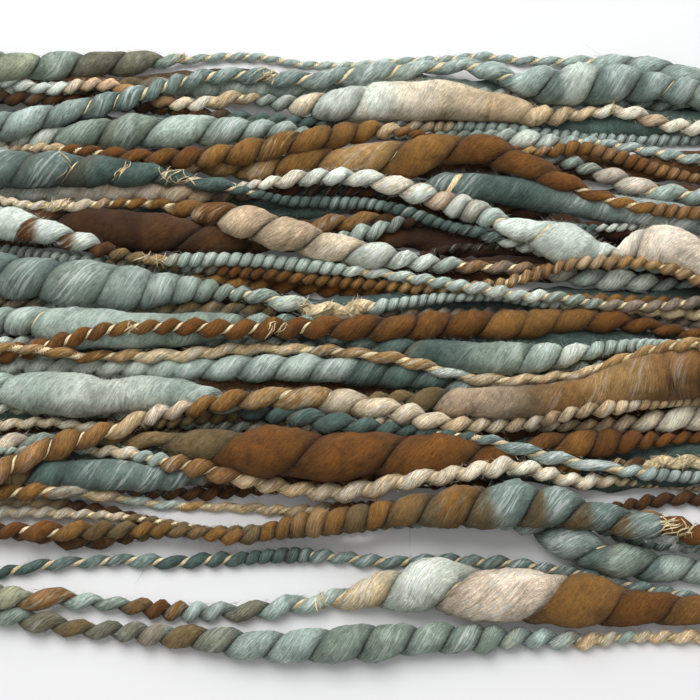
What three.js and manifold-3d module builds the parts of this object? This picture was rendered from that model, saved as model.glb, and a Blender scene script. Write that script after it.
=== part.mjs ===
// An opened hank of hand-spun art yarn, laid flat: thick-and-thin wool, two plies twisted together.
// The hank is one solid: its wraps run along X in a low pile, turn back at both rounded ends, and
// are fused where they touch. The biggest slubs carry their twist. The underside is flat.
// Millimetres, +Z up, the hank's long axis along X, the origin under its middle.
import * as THREE from "three";
import Module from "manifold-3d";
import { mergeVertices } from "three/addons/utils/BufferGeometryUtils.js";

// Driving sizes
const HANK_LENGTH = 450;
const TURN_CENTRE = 170; // from the hank's middle to the centre of its turned ends
const TURN_INNER = 5.5; // radius of the innermost wrap's turn
const INSET = 1.1; // how much further in a wrap turns for each layer of the pile under it
const END_THICK = 4.6; // diameter of the yarn in the turned ends, between slubs
const PILE_MIDDLE = new THREE.Vector3(0, -9.3, 8);
const NESTLE = 0.8; // how near two strands lie, as a share of their two radii together
const SETTLE = 0.8; // height of a strand's middle over the surface, as a share of its radius
const BED_HIGH = 5; // the lowest wraps, pressed flat by those above
const BED_WIDE = 12.5;
const BED_WANDER = 0.8; // how far a bed strand strays to each side
const YARN_COLOUR = 0x8f8a74;

// The strands were measured in one view, from above the near edge, on a plane through PILE_MIDDLE.
const VIEW_ELEVATION = THREE.MathUtils.degToRad(60);
const VIEW_DISTANCE = 437.5;
const VIEW_HALF = 94;
const SLICE = 4;

// Strands that cross the hank's middle, the far half, from the outermost wrap to the innermost.
// layer: place in the pile at the left and at the right, 1 lowest, 9 on top.
// across: how far up that plane the strand lies, at the nine stations.
// thin: diameter between slubs. slubs: [at, long, thick].
const STATIONS = [-88, -66, -44, -22, 0, 22, 44, 66, 88];
const FAR_STRANDS = [
  { layer: [5, 5], across: [71, 71, 72.5, 73, 71, 72, 72, 71, 67], thin: 2.4,
    slubs: [[-76, 80, 7.2], [72, 50, 6]] },
  { layer: [7, 7], across: [55.5, 58, 66.5, 68.5, 68.5, 70.5, 66, 66.5, 64], thin: 4,
    slubs: [[-88, 70, 7.5], [56, 60, 10.5], [84, 40, 7]] },
  { layer: [4, 4], across: [68, 66.5, 62, 62, 61, 62.5, 59, 60, 55.5], thin: 3.2,
    slubs: [[22, 80, 10.5]] },
  { layer: [2, 3], across: [63, 62, 59.5, 57.5, 56.5, 56, 55, 53, 52], thin: 3.2, slubs: [] },
  { layer: [4, 5], across: [51, 53.5, 55, 55, 54, 53.5, 52, 51, 47], thin: 3,
    slubs: [[-50, 100, 9], [45, 24, 6]] },
  { layer: [6, 5], across: [50, 49.5, 48, 50, 54, 52.5, 50, 48, 42.5], thin: 2.8,
    slubs: [[-18, 90, 6.2], [68, 40, 5]] },
  { layer: [3, 7], across: [44, 44.5, 46, 45, 47, 50, 46, 37.5, 34], thin: 3.2,
    slubs: [[14, 110, 10]] },
  { layer: [8, 5], across: [45, 45, 43, 39, 37, 32, 26, 22, 20], thin: 3, slubs: [[-80, 75, 9.5]] },
  { layer: [3, 9], across: [40.5, 40.5, 40, 41.5, 43, 37.5, 29.5, 24.5, 22], thin: 4,
    slubs: [[22, 60, 6], [54, 26, 10.5], [82, 34, 10.5]] },
  { layer: [2, 3], across: [39.5, 39, 39, 39.5, 40, 41, 39, 35.5, 31.5], thin: 3.5,
    slubs: [[-62, 70, 5], [58, 110, 7.5]] },
  { layer: [2, 2], across: [33.5, 31, 28, 27.5, 32, 34, 34, 28, 26], thin: 4, slubs: [[-50, 100, 9.5]] },
  { layer: [7, 5], across: [37.5, 36, 35.5, 31, 24.5, 21.5, 20.5, 17, 16], thin: 3,
    slubs: [[-10, 85, 8.6], [69, 26, 6]] },
  { layer: [7, 8], across: [32, 26.5, 22.5, 22, 20, 17, 13.5, 11, 12.5], thin: 3.2,
    slubs: [[-88, 56, 8.5]] },
  { layer: [1, 9], across: [25, 22, 20.5, 19, 16.5, 15, 18, 22, 17], thin: 3.2, slubs: [] },
  { layer: [3, 3], across: [16, 16, 18, 16.5, 15, 14, 13, 12, 12], thin: 3.6, slubs: [] },
  { layer: [7, 7], across: [19, 16, 15, 13.5, 10, 13, 12, 11, 9], thin: 3,
    slubs: [[-70, 90, 12], [-8, 24, 5]] },
];

// The near half, from the outermost wrap to the innermost. Each is the other run of the wrap on
// the same line of the list above.
const NEAR_STRANDS = [
  { layer: [6, 6], across: [-66, -70, -71.5, -74, -73.5, -72, -72, -72, -72], thin: 3.6,
    slubs: [[-88, 40, 5.6], [-14, 120, 9.4]] },
  { layer: [7, 7], across: [-61, -63, -65.5, -65, -62, -59, -62, -64, -65], thin: 4.5,
    slubs: [[-88, 30, 6.5], [30, 80, 15], [62, 60, 11]] },
  { layer: [5, 5], across: [-56, -53, -53, -52, -52, -52.5, -54, -58, -62.5], thin: 3.6, slubs: [] },
  { layer: [4, 6], across: [-45.5, -47.5, -46, -45, -44, -43, -44, -52, -55], thin: 3,
    slubs: [[-66, 36, 6], [66, 60, 10]] },
  { layer: [7, 7], across: [-45, -45, -45, -46.5, -42.5, -40, -39, -42.5, -47], thin: 4,
    slubs: [[-76, 30, 5], [36, 120, 12.5]] },
  { layer: [5, 8], across: [-36, -36, -39, -40, -39, -39, -40.5, -43, -46], thin: 2.8,
    slubs: [[88, 30, 6]] },
  { layer: [3, 3], across: [-32, -31, -32, -30, -31, -33, -35, -39, -37], thin: 3.6,
    slubs: [[-64, 90, 7.5]] },
  { layer: [8, 7], across: [-25, -25, -28.5, -33, -35.5, -30.5, -29, -33, -34], thin: 3,
    slubs: [[-34, 60, 5.5], [20, 90, 5.5]] },
  { layer: [4, 4], across: [-24, -23, -23, -25.5, -26.5, -26.5, -25, -23, -22], thin: 3.2,
    slubs: [[-6, 110, 12.5], [60, 40, 7.5]] },
  { layer: [3, 4], across: [-19, -19.5, -18, -15.5, -13.5, -13, -13, -10, -4.5], thin: 3,
    slubs: [[36, 80, 8], [86, 60, 12.5]] },
  { layer: [9, 7], across: [-31, -21.5, -15, -12, -13.5, -18, -18, -14.5, -13], thin: 3.2,
    slubs: [[-76, 60, 6.5], [-4, 90, 7]] },
  { layer: [4, 6], across: [-9.5, -12, -11, -16, -19, -21, -25.5, -30, -32], thin: 3.4,
    slubs: [[-66, 80, 10.5], [-14, 50, 5]] },
  { layer: [4, 4], across: [-4, -4, -5, -5, -5, -8, -10.5, -10.5, -9], thin: 4.5, slubs: [[-20, 110, 7]] },
  { layer: [9, 9], across: [1, -2, -0.5, 0, -1, -5, -7.5, -3.5, 2], thin: 3.2, slubs: [] },
  { layer: [4, 6], across: [7, 5, 5, 6, 1, -1, -2, 1, 1], thin: 3.2,
    slubs: [[-55, 90, 10], [34, 80, 8.5]] },
  { layer: [8, 8], across: [-1, 4, 6, 5, 5.5, 6, 6, 7, 3.5], thin: 3.8,
    slubs: [[-88, 40, 5], [42, 130, 7.4]] },
];

// The bed: wraps under all the others, which no view shows whole.
const BED_FAR = [62, 53.5, 45, 36.5, 28, 19.5, 11];
const BED_NEAR = [-42, -34.5, -27, -19.5, -12, -4.5, 3];

// A value that the nine stations give, at a place between them.
function along(values, at) {
  const step = STATIONS[1] - STATIONS[0];
  const place = THREE.MathUtils.clamp((at - STATIONS[0]) / step, 0, values.length - 1.001);
  const i = Math.floor(place);
  const t = place - i;
  const [a, b, c, d] = [i - 1, i, i + 1, i + 2].map(
    (k) => values[THREE.MathUtils.clamp(k, 0, values.length - 1)],
  );
  return b + 0.5 * t * (c - a + t * (2 * a - 5 * b + 4 * c - d + t * (3 * (b - c) + d - a)));
}

// Diameter of a strand at a place along it: thin, and swollen at each slub.
function thickness(strand, at) {
  let thick = strand.thin;
  for (const [middle, long, most] of strand.slubs) {
    const away = Math.abs(at - middle) / (long / 2);
    if (away < 1) {
      const swell = Math.cos((away * Math.PI) / 2) ** 1.2;
      thick = Math.max(thick, strand.thin + (most - strand.thin) * swell);
    }
  }
  return thick;
}

// A point seen at (side, up) on the measuring plane, reach being 1 on that plane and less nearer
// to the eye.
const FORWARD = new THREE.Vector3(0, Math.cos(VIEW_ELEVATION), -Math.sin(VIEW_ELEVATION));
const UPWARD = new THREE.Vector3(0, Math.sin(VIEW_ELEVATION), Math.cos(VIEW_ELEVATION));
const EYE = PILE_MIDDLE.clone().addScaledVector(FORWARD, -VIEW_DISTANCE);

function sightLine(side, up) {
  return new THREE.Vector3(side, 0, 0)
    .addScaledVector(FORWARD, VIEW_DISTANCE)
    .addScaledVector(UPWARD, up);
}

// How far along a line of sight a strand of this radius comes to rest: on the surface or on the
// strands already laid.
function restingReach(line, radius, laid) {
  let reach = (EYE.z - radius * SETTLE) / -line.z;
  for (const other of laid) {
    const gap = NESTLE * (radius + other.radius);
    const toOther = other.point.clone().sub(EYE);
    const middle = toOther.dot(line) / line.lengthSq();
    const missSquared = toOther.lengthSq() - middle * middle * line.lengthSq();
    if (missSquared < gap * gap) {
      reach = Math.min(reach, middle - Math.sqrt((gap * gap - missSquared) / line.lengthSq()));
    }
  }
  return reach;
}

// Yarn bends gently: each height is spread to its neighbours, and then evened out.
function eased(values, spread, passes) {
  let now = values.map((_, i) =>
    Math.min(...values.slice(Math.max(0, i - spread), i + spread + 1)),
  );
  for (let pass = 0; pass < passes; pass++) {
    now = now.map((v, i) => {
      const before = now[Math.max(0, i - 1)];
      const after = now[Math.min(now.length - 1, i + 1)];
      return (before + 2 * v + after) / 4;
    });
  }
  return now;
}

// The measured stretch of every strand: sides, points and radii, laid one on another.
function layMeasured(strands) {
  const sides = [];
  for (let side = -VIEW_HALF; side <= VIEW_HALF; side += SLICE) sides.push(side);
  for (const strand of strands) {
    strand.lines = sides.map((side) => sightLine(side, along(strand.across, side)));
    strand.radii = sides.map((side) => thickness(strand, side) / 2);
    strand.reach = sides.map(() => Infinity);
  }
  const share = sides.map((side) => (side + VIEW_HALF) / (2 * VIEW_HALF));
  for (let pass = 0; pass < 3; pass++) {
    for (let i = 0; i < sides.length; i++) {
      const rank = (strand) =>
        strand.layer[0] + (strand.layer[1] - strand.layer[0]) * share[i];
      const laid = [];
      for (const strand of [...strands].sort((a, b) => rank(a) - rank(b))) {
        const line = strand.lines[i];
        const rest = restingReach(line, strand.radii[i], laid);
        strand.reach[i] = Math.min(strand.reach[i], rest);
        laid.push({
          point: EYE.clone().addScaledVector(line, strand.reach[i]),
          radius: strand.radii[i],
        });
      }
    }
    for (const strand of strands) strand.reach = eased(strand.reach, 1, 3);
  }
  for (const strand of strands) {
    strand.points = strand.lines.map((line, i) =>
      EYE.clone().addScaledVector(line, strand.reach[i]),
    );
  }
}

// The turned end of one wrap on one side: from the far run's last point round to the near run's.
const RUN_STEPS = 12;
const ARC_STEPS = 12;
const JOIN_SHARE = 0.72; // share of the way out at which the turned end's own height takes over
const END_SLUB = 2; // how much the yarn's radius swells at a slub in a turned end

function layTurn(wrap, side) {
  const last = (list) => (side > 0 ? list[list.length - 1] : list[0]);
  const from = last(wrap.far.points);
  const to = last(wrap.near.points);
  const run = (start, y) =>
    Array.from({ length: RUN_STEPS }, (_, step) => {
      const share = (step + 1) / (RUN_STEPS + 1);
      return new THREE.Vector3(
        THREE.MathUtils.lerp(start.x, side * TURN_CENTRE, share),
        THREE.MathUtils.lerp(start.y, y, THREE.MathUtils.smoothstep(share, 0, 1)),
        start.z,
      );
    });
  const arc = Array.from({ length: ARC_STEPS + 1 }, (_, step) => {
    const angle = Math.PI * (0.5 - step / ARC_STEPS);
    return new THREE.Vector3(
      side * (TURN_CENTRE + wrap.turn * Math.cos(angle)),
      wrap.turn * Math.sin(angle),
      0,
    );
  });
  const path = [...run(from, wrap.turn), ...arc, ...run(to, -wrap.turn).reverse()];
  return path.map((point, i) => {
    const share = i / (path.length - 1);
    const phase = 2.4 * wrap.number + side;
    const swell = Math.max(0, Math.sin(phase + 17 * share)) * Math.max(0, Math.sin(3 * phase + 7 * share));
    const plain = wrap.thin / 2 + (wrap.wide ? 0 : (wrap.number % 3) * swell * END_SLUB);
    const farHalf = share < 0.5;
    const blend = THREE.MathUtils.smoothstep(Math.abs(2 * share - 1), JOIN_SHARE, 1);
    return {
      point,
      blend,
      start: (farHalf ? from : to).z,
      radius: THREE.MathUtils.lerp(plain, last((farHalf ? wrap.far : wrap.near).radii), blend),
      wide: wrap.wide,
    };
  });
}

// Lays the turned ends one on another, straight down, the lowest wrap first.
function layEnds(wraps) {
  for (const side of [1, -1]) {
    const laid = [];
    for (const wrap of [...wraps].sort((a, b) => a.rank - b.rank)) {
      const path = layTurn(wrap, side);
      const heights = path.map(({ point, radius }) => {
        let height = radius * SETTLE;
        for (const other of laid) {
          const gap = NESTLE * (radius + other.radius);
          const away = Math.hypot(point.x - other.point.x, point.y - other.point.y);
          if (away < gap) height = Math.max(height, other.point.z + Math.sqrt(gap * gap - away * away));
        }
        return height;
      });
      const smooth = eased(heights.map((h) => -h), 1, 3).map((h) => -h);
      path.forEach((sample, i) => {
        sample.point.z = THREE.MathUtils.lerp(smooth[i], sample.start, sample.blend);
      });
      laid.push(...path);
      wrap.ends = { ...wrap.ends, [side]: path };
    }
  }
}

// A wrap as one closed row of points and radii: far run, right turn, near run, left turn.
function closedRow(wrap) {
  const run = (strand) =>
    strand.points.map((point, i) => ({ point, radius: strand.radii[i], wide: wrap.wide }));
  return [
    ...run(wrap.far),
    ...wrap.ends[1],
    ...run(wrap.near).reverse(),
    ...[...wrap.ends[-1]].reverse(),
  ];
}

// The yarn as balls set close together along each wrap. Slubs have two rows of them, one for each
// ply, wound round each other, so that the twist stands out.
const BALL_STEP = 1.2;
const PLIED_FROM = 2.3; // radius from which both plies are made
const PLY_SHARE = 0.68; // radius of a ply, as a share of the strand's
const LOBE_PITCH = 1.3; // spacing of the twist's lobes, as a share of the strand's diameter

function yarnBalls(wrap) {
  const row = closedRow(wrap);
  const curve = new THREE.CatmullRomCurve3(row.map((sample) => sample.point), true);
  const balls = [];
  let turned = 0;
  row.forEach((sample, i) => {
    const next = row[(i + 1) % row.length];
    const long = sample.point.distanceTo(next.point);
    const steps = Math.max(1, Math.round(long / BALL_STEP));
    for (let step = 0; step < steps; step++) {
      const share = step / steps;
      const point = curve.getPoint((i + share) / row.length);
      const radius = THREE.MathUtils.lerp(sample.radius, next.radius, share);
      turned -= (Math.PI * long) / steps / (LOBE_PITCH * 2 * radius);
      if (wrap.wide || radius < PLIED_FROM) {
        balls.push({ point, radius, wide: wrap.wide ? BED_WIDE / BED_HIGH : 1 });
        continue;
      }
      const tangent = curve.getTangent((i + share) / row.length);
      const level = new THREE.Vector3(-tangent.y, tangent.x, 0).normalize();
      const upright = new THREE.Vector3().crossVectors(tangent, level);
      for (const side of [1, -1]) {
        const off = side * radius * (1 - PLY_SHARE);
        const centre = point
          .clone()
          .addScaledVector(level, Math.cos(turned) * off)
          .addScaledVector(upright, Math.sin(turned) * off);
        balls.push({ point: centre, radius: radius * PLY_SHARE, wide: 1 });
      }
    }
  });
  return balls;
}

// A fine sheet laid over the whole hank: at each of its points, the height of the yarn there.
const SHEET_LONG = 460;
const SHEET_DEEP = 192;
const SHEET_COLUMNS = 256;
const SHEET_ROWS = 208;
const OFF_HANK = -3; // the sheet's height where there is no yarn

function drapedSheet(wraps) {
  const sheet = new THREE.PlaneGeometry(SHEET_LONG, SHEET_DEEP, SHEET_COLUMNS, SHEET_ROWS);
  const position = sheet.getAttribute("position");
  const across = SHEET_COLUMNS + 1;
  const stepX = SHEET_LONG / SHEET_COLUMNS;
  const stepY = SHEET_DEEP / SHEET_ROWS;
  for (let i = 0; i < position.count; i++) position.setZ(i, OFF_HANK);
  for (const { point, radius, wide } of wraps.flatMap(yarnBalls)) {
    const reach = radius * wide;
    const first = Math.ceil((point.x - reach + SHEET_LONG / 2) / stepX);
    const last = Math.floor((point.x + reach + SHEET_LONG / 2) / stepX);
    const top = Math.ceil((SHEET_DEEP / 2 - point.y - reach) / stepY);
    const bottom = Math.floor((SHEET_DEEP / 2 - point.y + reach) / stepY);
    for (let row = top; row <= bottom; row++) {
      for (let column = first; column <= last; column++) {
        const i = row * across + column;
        const off = Math.hypot(position.getX(i) - point.x, position.getY(i) - point.y) / reach;
        if (off >= 1) continue;
        const height = point.z + radius * Math.sqrt(1 - off * off);
        if (height > position.getZ(i)) position.setZ(i, height);
      }
    }
  }
  return { position, index: sheet.index.array, across };
}

// Thins the sheet: the point whose loss changes the surface least is drawn into a neighbour, again
// and again, until so many are left. Seen from above no triangle ever turns over.
const KEPT_POINTS = 5700;
const LEAST_AREA = 0.02;

function thinned({ position, index, across }) {
  const count = position.count;
  const at = (i) => [position.getX(i), position.getY(i), position.getZ(i)];
  const points = Array.from({ length: count }, (_, i) => at(i));
  const triangles = [];
  const touching = Array.from({ length: count }, () => new Set());
  const planes = Array.from({ length: count }, () => new Float64Array(10));
  for (let t = 0; t < index.length; t += 3) {
    const corners = [index[t], index[t + 1], index[t + 2]];
    const [a, b, c] = corners.map((i) => new THREE.Vector3(...points[i]));
    const normal = b.clone().sub(a).cross(c.clone().sub(a));
    const area = normal.length();
    normal.normalize();
    const plane = [normal.x, normal.y, normal.z, -normal.dot(a)];
    for (const corner of corners) {
      let k = 0;
      for (let i = 0; i < 4; i++) {
        for (let j = i; j < 4; j++) planes[corner][k++] += area * plane[i] * plane[j];
      }
      touching[corner].add(triangles.length);
    }
    triangles.push(corners);
  }
  const rows = count / across;
  const onRim = (i) => {
    const [row, column] = [Math.floor(i / across), i % across];
    return row === 0 || column === 0 || row === rows - 1 || column === across - 1;
  };
  const neighbours = (i) => {
    const around = new Set();
    for (const t of touching[i]) for (const corner of triangles[t]) around.add(corner);
    around.delete(i);
    return around;
  };
  const flatArea = (a, b, c) =>
    (b[0] - a[0]) * (c[1] - a[1]) - (b[1] - a[1]) * (c[0] - a[0]);
  const loss = (from, to) => {
    const [x, y, z] = points[to];
    const [p, q] = [planes[from], planes[to]];
    const s = (k) => p[k] + q[k];
    return (
      s(0) * x * x + 2 * s(1) * x * y + 2 * s(2) * x * z + 2 * s(3) * x +
      s(4) * y * y + 2 * s(5) * y * z + 2 * s(6) * y + s(7) * z * z + 2 * s(8) * z + s(9)
    );
  };
  const mayMove = (from, to, around) => {
    let shared = 0;
    for (const other of neighbours(to)) if (around.has(other)) shared++;
    if (shared !== 2) return false;
    for (const t of touching[from]) {
      const corners = triangles[t];
      if (corners.includes(to)) continue;
      const moved = corners.map((corner) => points[corner === from ? to : corner]);
      if (flatArea(...moved) < LEAST_AREA) return false;
    }
    return true;
  };

  const heap = [];
  const stamp = new Uint32Array(count);
  const swap = (i, j) => ([heap[i], heap[j]] = [heap[j], heap[i]]);
  const push = (entry) => {
    let i = heap.push(entry) - 1;
    for (let up = (i - 1) >> 1; i > 0 && heap[i].cost < heap[up].cost; up = (i - 1) >> 1) {
      swap(i, up);
      i = up;
    }
  };
  const pop = () => {
    swap(0, heap.length - 1);
    const entry = heap.pop();
    for (let i = 0; ; ) {
      const [left, right] = [2 * i + 1, 2 * i + 2];
      let least = i;
      if (left < heap.length && heap[left].cost < heap[least].cost) least = left;
      if (right < heap.length && heap[right].cost < heap[least].cost) least = right;
      if (least === i) return entry;
      swap(i, least);
      i = least;
    }
  };
  const offer = (from) => {
    stamp[from]++;
    if (onRim(from)) return;
    const around = neighbours(from);
    const choices = [...around].map((to) => ({ to, cost: loss(from, to) }));
    choices.sort((a, b) => a.cost - b.cost);
    const best = choices.find(({ to }) => mayMove(from, to, around));
    if (best) push({ from, to: best.to, cost: best.cost, stamp: stamp[from] });
  };
  for (let i = 0; i < count; i++) offer(i);

  for (let left = count; left > KEPT_POINTS && heap.length > 0; ) {
    const { from, to, stamp: made } = pop();
    if (made !== stamp[from]) continue;
    const around = neighbours(from);
    for (const t of [...touching[from]]) {
      if (triangles[t].includes(to)) {
        for (const corner of triangles[t]) touching[corner].delete(t);
        triangles[t] = null;
      } else {
        triangles[t] = triangles[t].map((corner) => (corner === from ? to : corner));
        touching[to].add(t);
      }
    }
    planes[from].forEach((value, k) => (planes[to][k] += value));
    touching[from].clear();
    stamp[from]++;
    left--;
    for (const other of around) offer(other);
  }
  return { points, triangles: triangles.filter(Boolean), rim: rimOf(across, rows) };
}

// The sheet's border, point by point, against the clock.
function rimOf(across, rows) {
  const rim = [];
  for (let row = 0; row < rows - 1; row++) rim.push(row * across);
  for (let column = 0; column < across - 1; column++) rim.push((rows - 1) * across + column);
  for (let row = rows - 1; row > 0; row--) rim.push(row * across + across - 1);
  for (let column = across - 1; column > 0; column--) rim.push(column);
  return rim;
}

const wasm = await Module();
wasm.setup();

function solid(vertices, triangles) {
  return new wasm.Manifold(
    new wasm.Mesh({
      numProp: 3,
      vertProperties: new Float32Array(vertices.flat()),
      triVerts: new Uint32Array(triangles.flat()),
    }),
  );
}

// The sheet closed underneath.
const UNDERSIDE = -12;

function closedSheet({ points, triangles, rim }) {
  const vertices = points.slice();
  const centre = vertices.push([0, 0, UNDERSIDE]) - 1;
  const lower = rim.map((i) => vertices.push([points[i][0], points[i][1], UNDERSIDE]) - 1);
  const faces = triangles.slice();
  rim.forEach((a, i) => {
    const j = (i + 1) % rim.length;
    faces.push([a, lower[i], rim[j]], [rim[j], lower[i], lower[j]], [centre, lower[j], lower[i]]);
  });
  const used = new Map();
  const kept = [];
  const renumbered = faces.map((face) =>
    face.map((i) => {
      if (!used.has(i)) used.set(i, kept.push(vertices[i]) - 1);
      return used.get(i);
    }),
  );
  return solid(kept, renumbered);
}

// What is cut away to leave the flat underside.
function belowSurface() {
  const box = new THREE.BoxGeometry(2 * SHEET_LONG, 2 * SHEET_DEEP, 50).translate(0, 0, -25);
  box.deleteAttribute("normal");
  box.deleteAttribute("uv");
  const merged = mergeVertices(box);
  return solid([...merged.getAttribute("position").array], [...merged.index.array]);
}

function buildWraps() {
  const bedStrand = (up) => ({
    layer: [0, 0],
    across: STATIONS.map((at) => up + BED_WANDER * Math.sin(at / 25 + up)),
    thin: BED_HIGH,
    slubs: [],
  });
  const wraps = FAR_STRANDS.map((far, number) => ({ far, near: NEAR_STRANDS[number], number }));
  BED_FAR.forEach((up, i) => {
    wraps.push({ far: bedStrand(up), near: bedStrand(BED_NEAR[i]), wide: true, number: i });
  });
  layMeasured(wraps.flatMap((wrap) => [wrap.far, wrap.near]));
  const most = HANK_LENGTH / 2 - TURN_CENTRE - BED_WIDE / 2;
  const main = FAR_STRANDS.length;
  for (const wrap of wraps) {
    const nested = 1 - wrap.number / ((wrap.wide ? BED_FAR.length : main) - 1);
    const layers = [...wrap.far.layer, ...wrap.near.layer];
    wrap.rank = layers.reduce((sum, layer) => sum + layer, 0) / layers.length;
    wrap.turn = THREE.MathUtils.lerp(TURN_INNER, most - wrap.rank * INSET, nested);
    wrap.thin = wrap.wide ? BED_HIGH : END_THICK;
  }
  layEnds(wraps);
  return wraps;
}

function hankGeometry() {
  const cut = closedSheet(thinned(drapedSheet(buildWraps()))).subtract(belowSurface());
  const [body] = cut.decompose().sort((a, b) => b.volume() - a.volume());
  const mesh = body.getMesh();
  const geometry = new THREE.BufferGeometry();
  geometry.setAttribute("position", new THREE.BufferAttribute(mesh.vertProperties, 3));
  geometry.setIndex(new THREE.BufferAttribute(mesh.triVerts, 1));
  geometry.computeVertexNormals();
  return geometry;
}

const yarn = new THREE.MeshStandardMaterial({ color: YARN_COLOUR, roughness: 0.95, metalness: 0 });
const hank = new THREE.Mesh(hankGeometry(), yarn);
hank.name = "hank";

const group = new THREE.Group();
group.add(hank);
export default group;
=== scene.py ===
"""An opened hank of hand-spun art yarn, laid flat on a pale floor: thick-and-thin dyed wool whose
thinner stretches are bound with a gold thread. Each wrap of the hank is one closed tube of yarn.

Lengths are millimetres until a mesh is made, which is in metres.
"""
import math
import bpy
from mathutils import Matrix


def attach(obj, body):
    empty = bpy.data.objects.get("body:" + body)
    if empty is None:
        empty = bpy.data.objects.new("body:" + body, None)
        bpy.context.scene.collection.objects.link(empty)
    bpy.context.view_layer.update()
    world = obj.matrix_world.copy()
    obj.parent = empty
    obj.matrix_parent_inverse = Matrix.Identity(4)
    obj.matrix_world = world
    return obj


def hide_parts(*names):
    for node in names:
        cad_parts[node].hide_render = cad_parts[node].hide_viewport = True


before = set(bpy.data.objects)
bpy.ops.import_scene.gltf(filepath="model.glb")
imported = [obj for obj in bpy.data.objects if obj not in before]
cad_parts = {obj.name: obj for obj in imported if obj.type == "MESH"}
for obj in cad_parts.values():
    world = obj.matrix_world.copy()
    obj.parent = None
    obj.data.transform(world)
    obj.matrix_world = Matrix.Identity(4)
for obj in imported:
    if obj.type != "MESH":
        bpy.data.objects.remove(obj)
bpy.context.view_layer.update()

from types import SimpleNamespace

import bpy
import numpy as np
from mathutils import Vector

MM = 0.001
ROUND = 2 * np.pi

# The view
PILE_MIDDLE = np.array([0.0, -9.3, 8.0])
VIEW_ELEVATION = math.radians(60)
VIEW_DISTANCE = 437.5
LENS, SENSOR = 90, 36
PHOTO_SIDE = 700
PHOTO_MIDDLE = PHOTO_SIDE / 2
PIXELS_PER_MM = PHOTO_SIDE / (VIEW_DISTANCE * SENSOR / LENS)  # on the plane through PILE_MIDDLE
FORWARD = np.array([0.0, math.cos(VIEW_ELEVATION), -math.sin(VIEW_ELEVATION)])
UPWARD = np.array([0.0, math.sin(VIEW_ELEVATION), math.cos(VIEW_ELEVATION)])
EYE = PILE_MIDDLE - FORWARD * VIEW_DISTANCE
EYE_HEIGHT = EYE[2] - PILE_MIDDLE[2]

# The hank
HANK_LENGTH = 450
TURN_CENTRE = 170  # how far out the turned ends have their centre
TURN_INNER = 5.5  # radius of the innermost turned end
INSET = 1.1  # how much smaller a turned end is for each layer that it lies higher
NESTLE = 0.86  # how near strands lie to each other, in the sum of their radii
SETTLE = 0.85  # how high a strand lies over the floor, in its radii
FLOOR_GAP = 0.05
SIDES = np.arange(-94, 94.1, 2)  # places along the hank where its runs are laid

# The yarn
FINE = 0.125  # spacing of the samples along a wrap
BOUND_TURN, THIN_TURN, SLUB_TURN, FAT_TURN, COIL_TURN = 1.75, 1.4, 1.3, 1.15, 0.84  # in diameters
CREASE_EASE = 20.0  # length over which the twist changes to suit the given creases
OFF_AXIS = 0.2  # how far thin yarn's middle lies from the axis of its twist, in its radius
CREASE_WIDE, CREASE_DEEP = 0.6, 0.42
SLUB_WAIST, FELTED_WAIST = 0.56, 0.99  # depth left in the crease, as a share of the radius

# Colours of the dyed wool: red, green and blue, and how silky its fibre is, which sets both its gloss and
# how strongly a painted silk highlight lightens its lobes.
DYES = {
    "slate": (108, 126, 119, 0.65),
    "teal": (146, 162, 154, 0.6),
    "deep": (74, 92, 86, 0),
    "sage": (127, 142, 128, 0.6),
    "aqua": (160, 176, 164, 0.8),
    "pale": (192, 200, 187, 1),
    "blue": (150, 164, 157, 0.9),
    "moss": (160, 167, 141, 0),
    "olive": (114, 97, 64, 0),
    "taupe": (106, 89, 58, 0),
    "dark": (78, 50, 22, 0),
    "umber": (52, 28, 8, 0),
    "mist": (213, 224, 212, 1),
    "shell": (250, 233, 209, 0.6),
    "rust": (104, 65, 21, 0),
    "brown": (124, 88, 40, 0),
    "caramel": (155, 122, 74, 0.25),
    "tan": (198, 172, 131, 0.5),
    "fawn": (186, 163, 134, 0),
    "loden": (110, 108, 90, 0),
    "copper": (134, 97, 53, 0.2),
    "peach": (212, 178, 142, 0.6),
    "cream": (204, 188, 159, 0.8),
    "ivory": (234, 223, 198, 1),
    "pink": (209, 192, 170, 0.6),
    "gold": (224, 203, 160, 0.4),
    "mauve": (134, 122, 106, 0),
}
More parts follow.
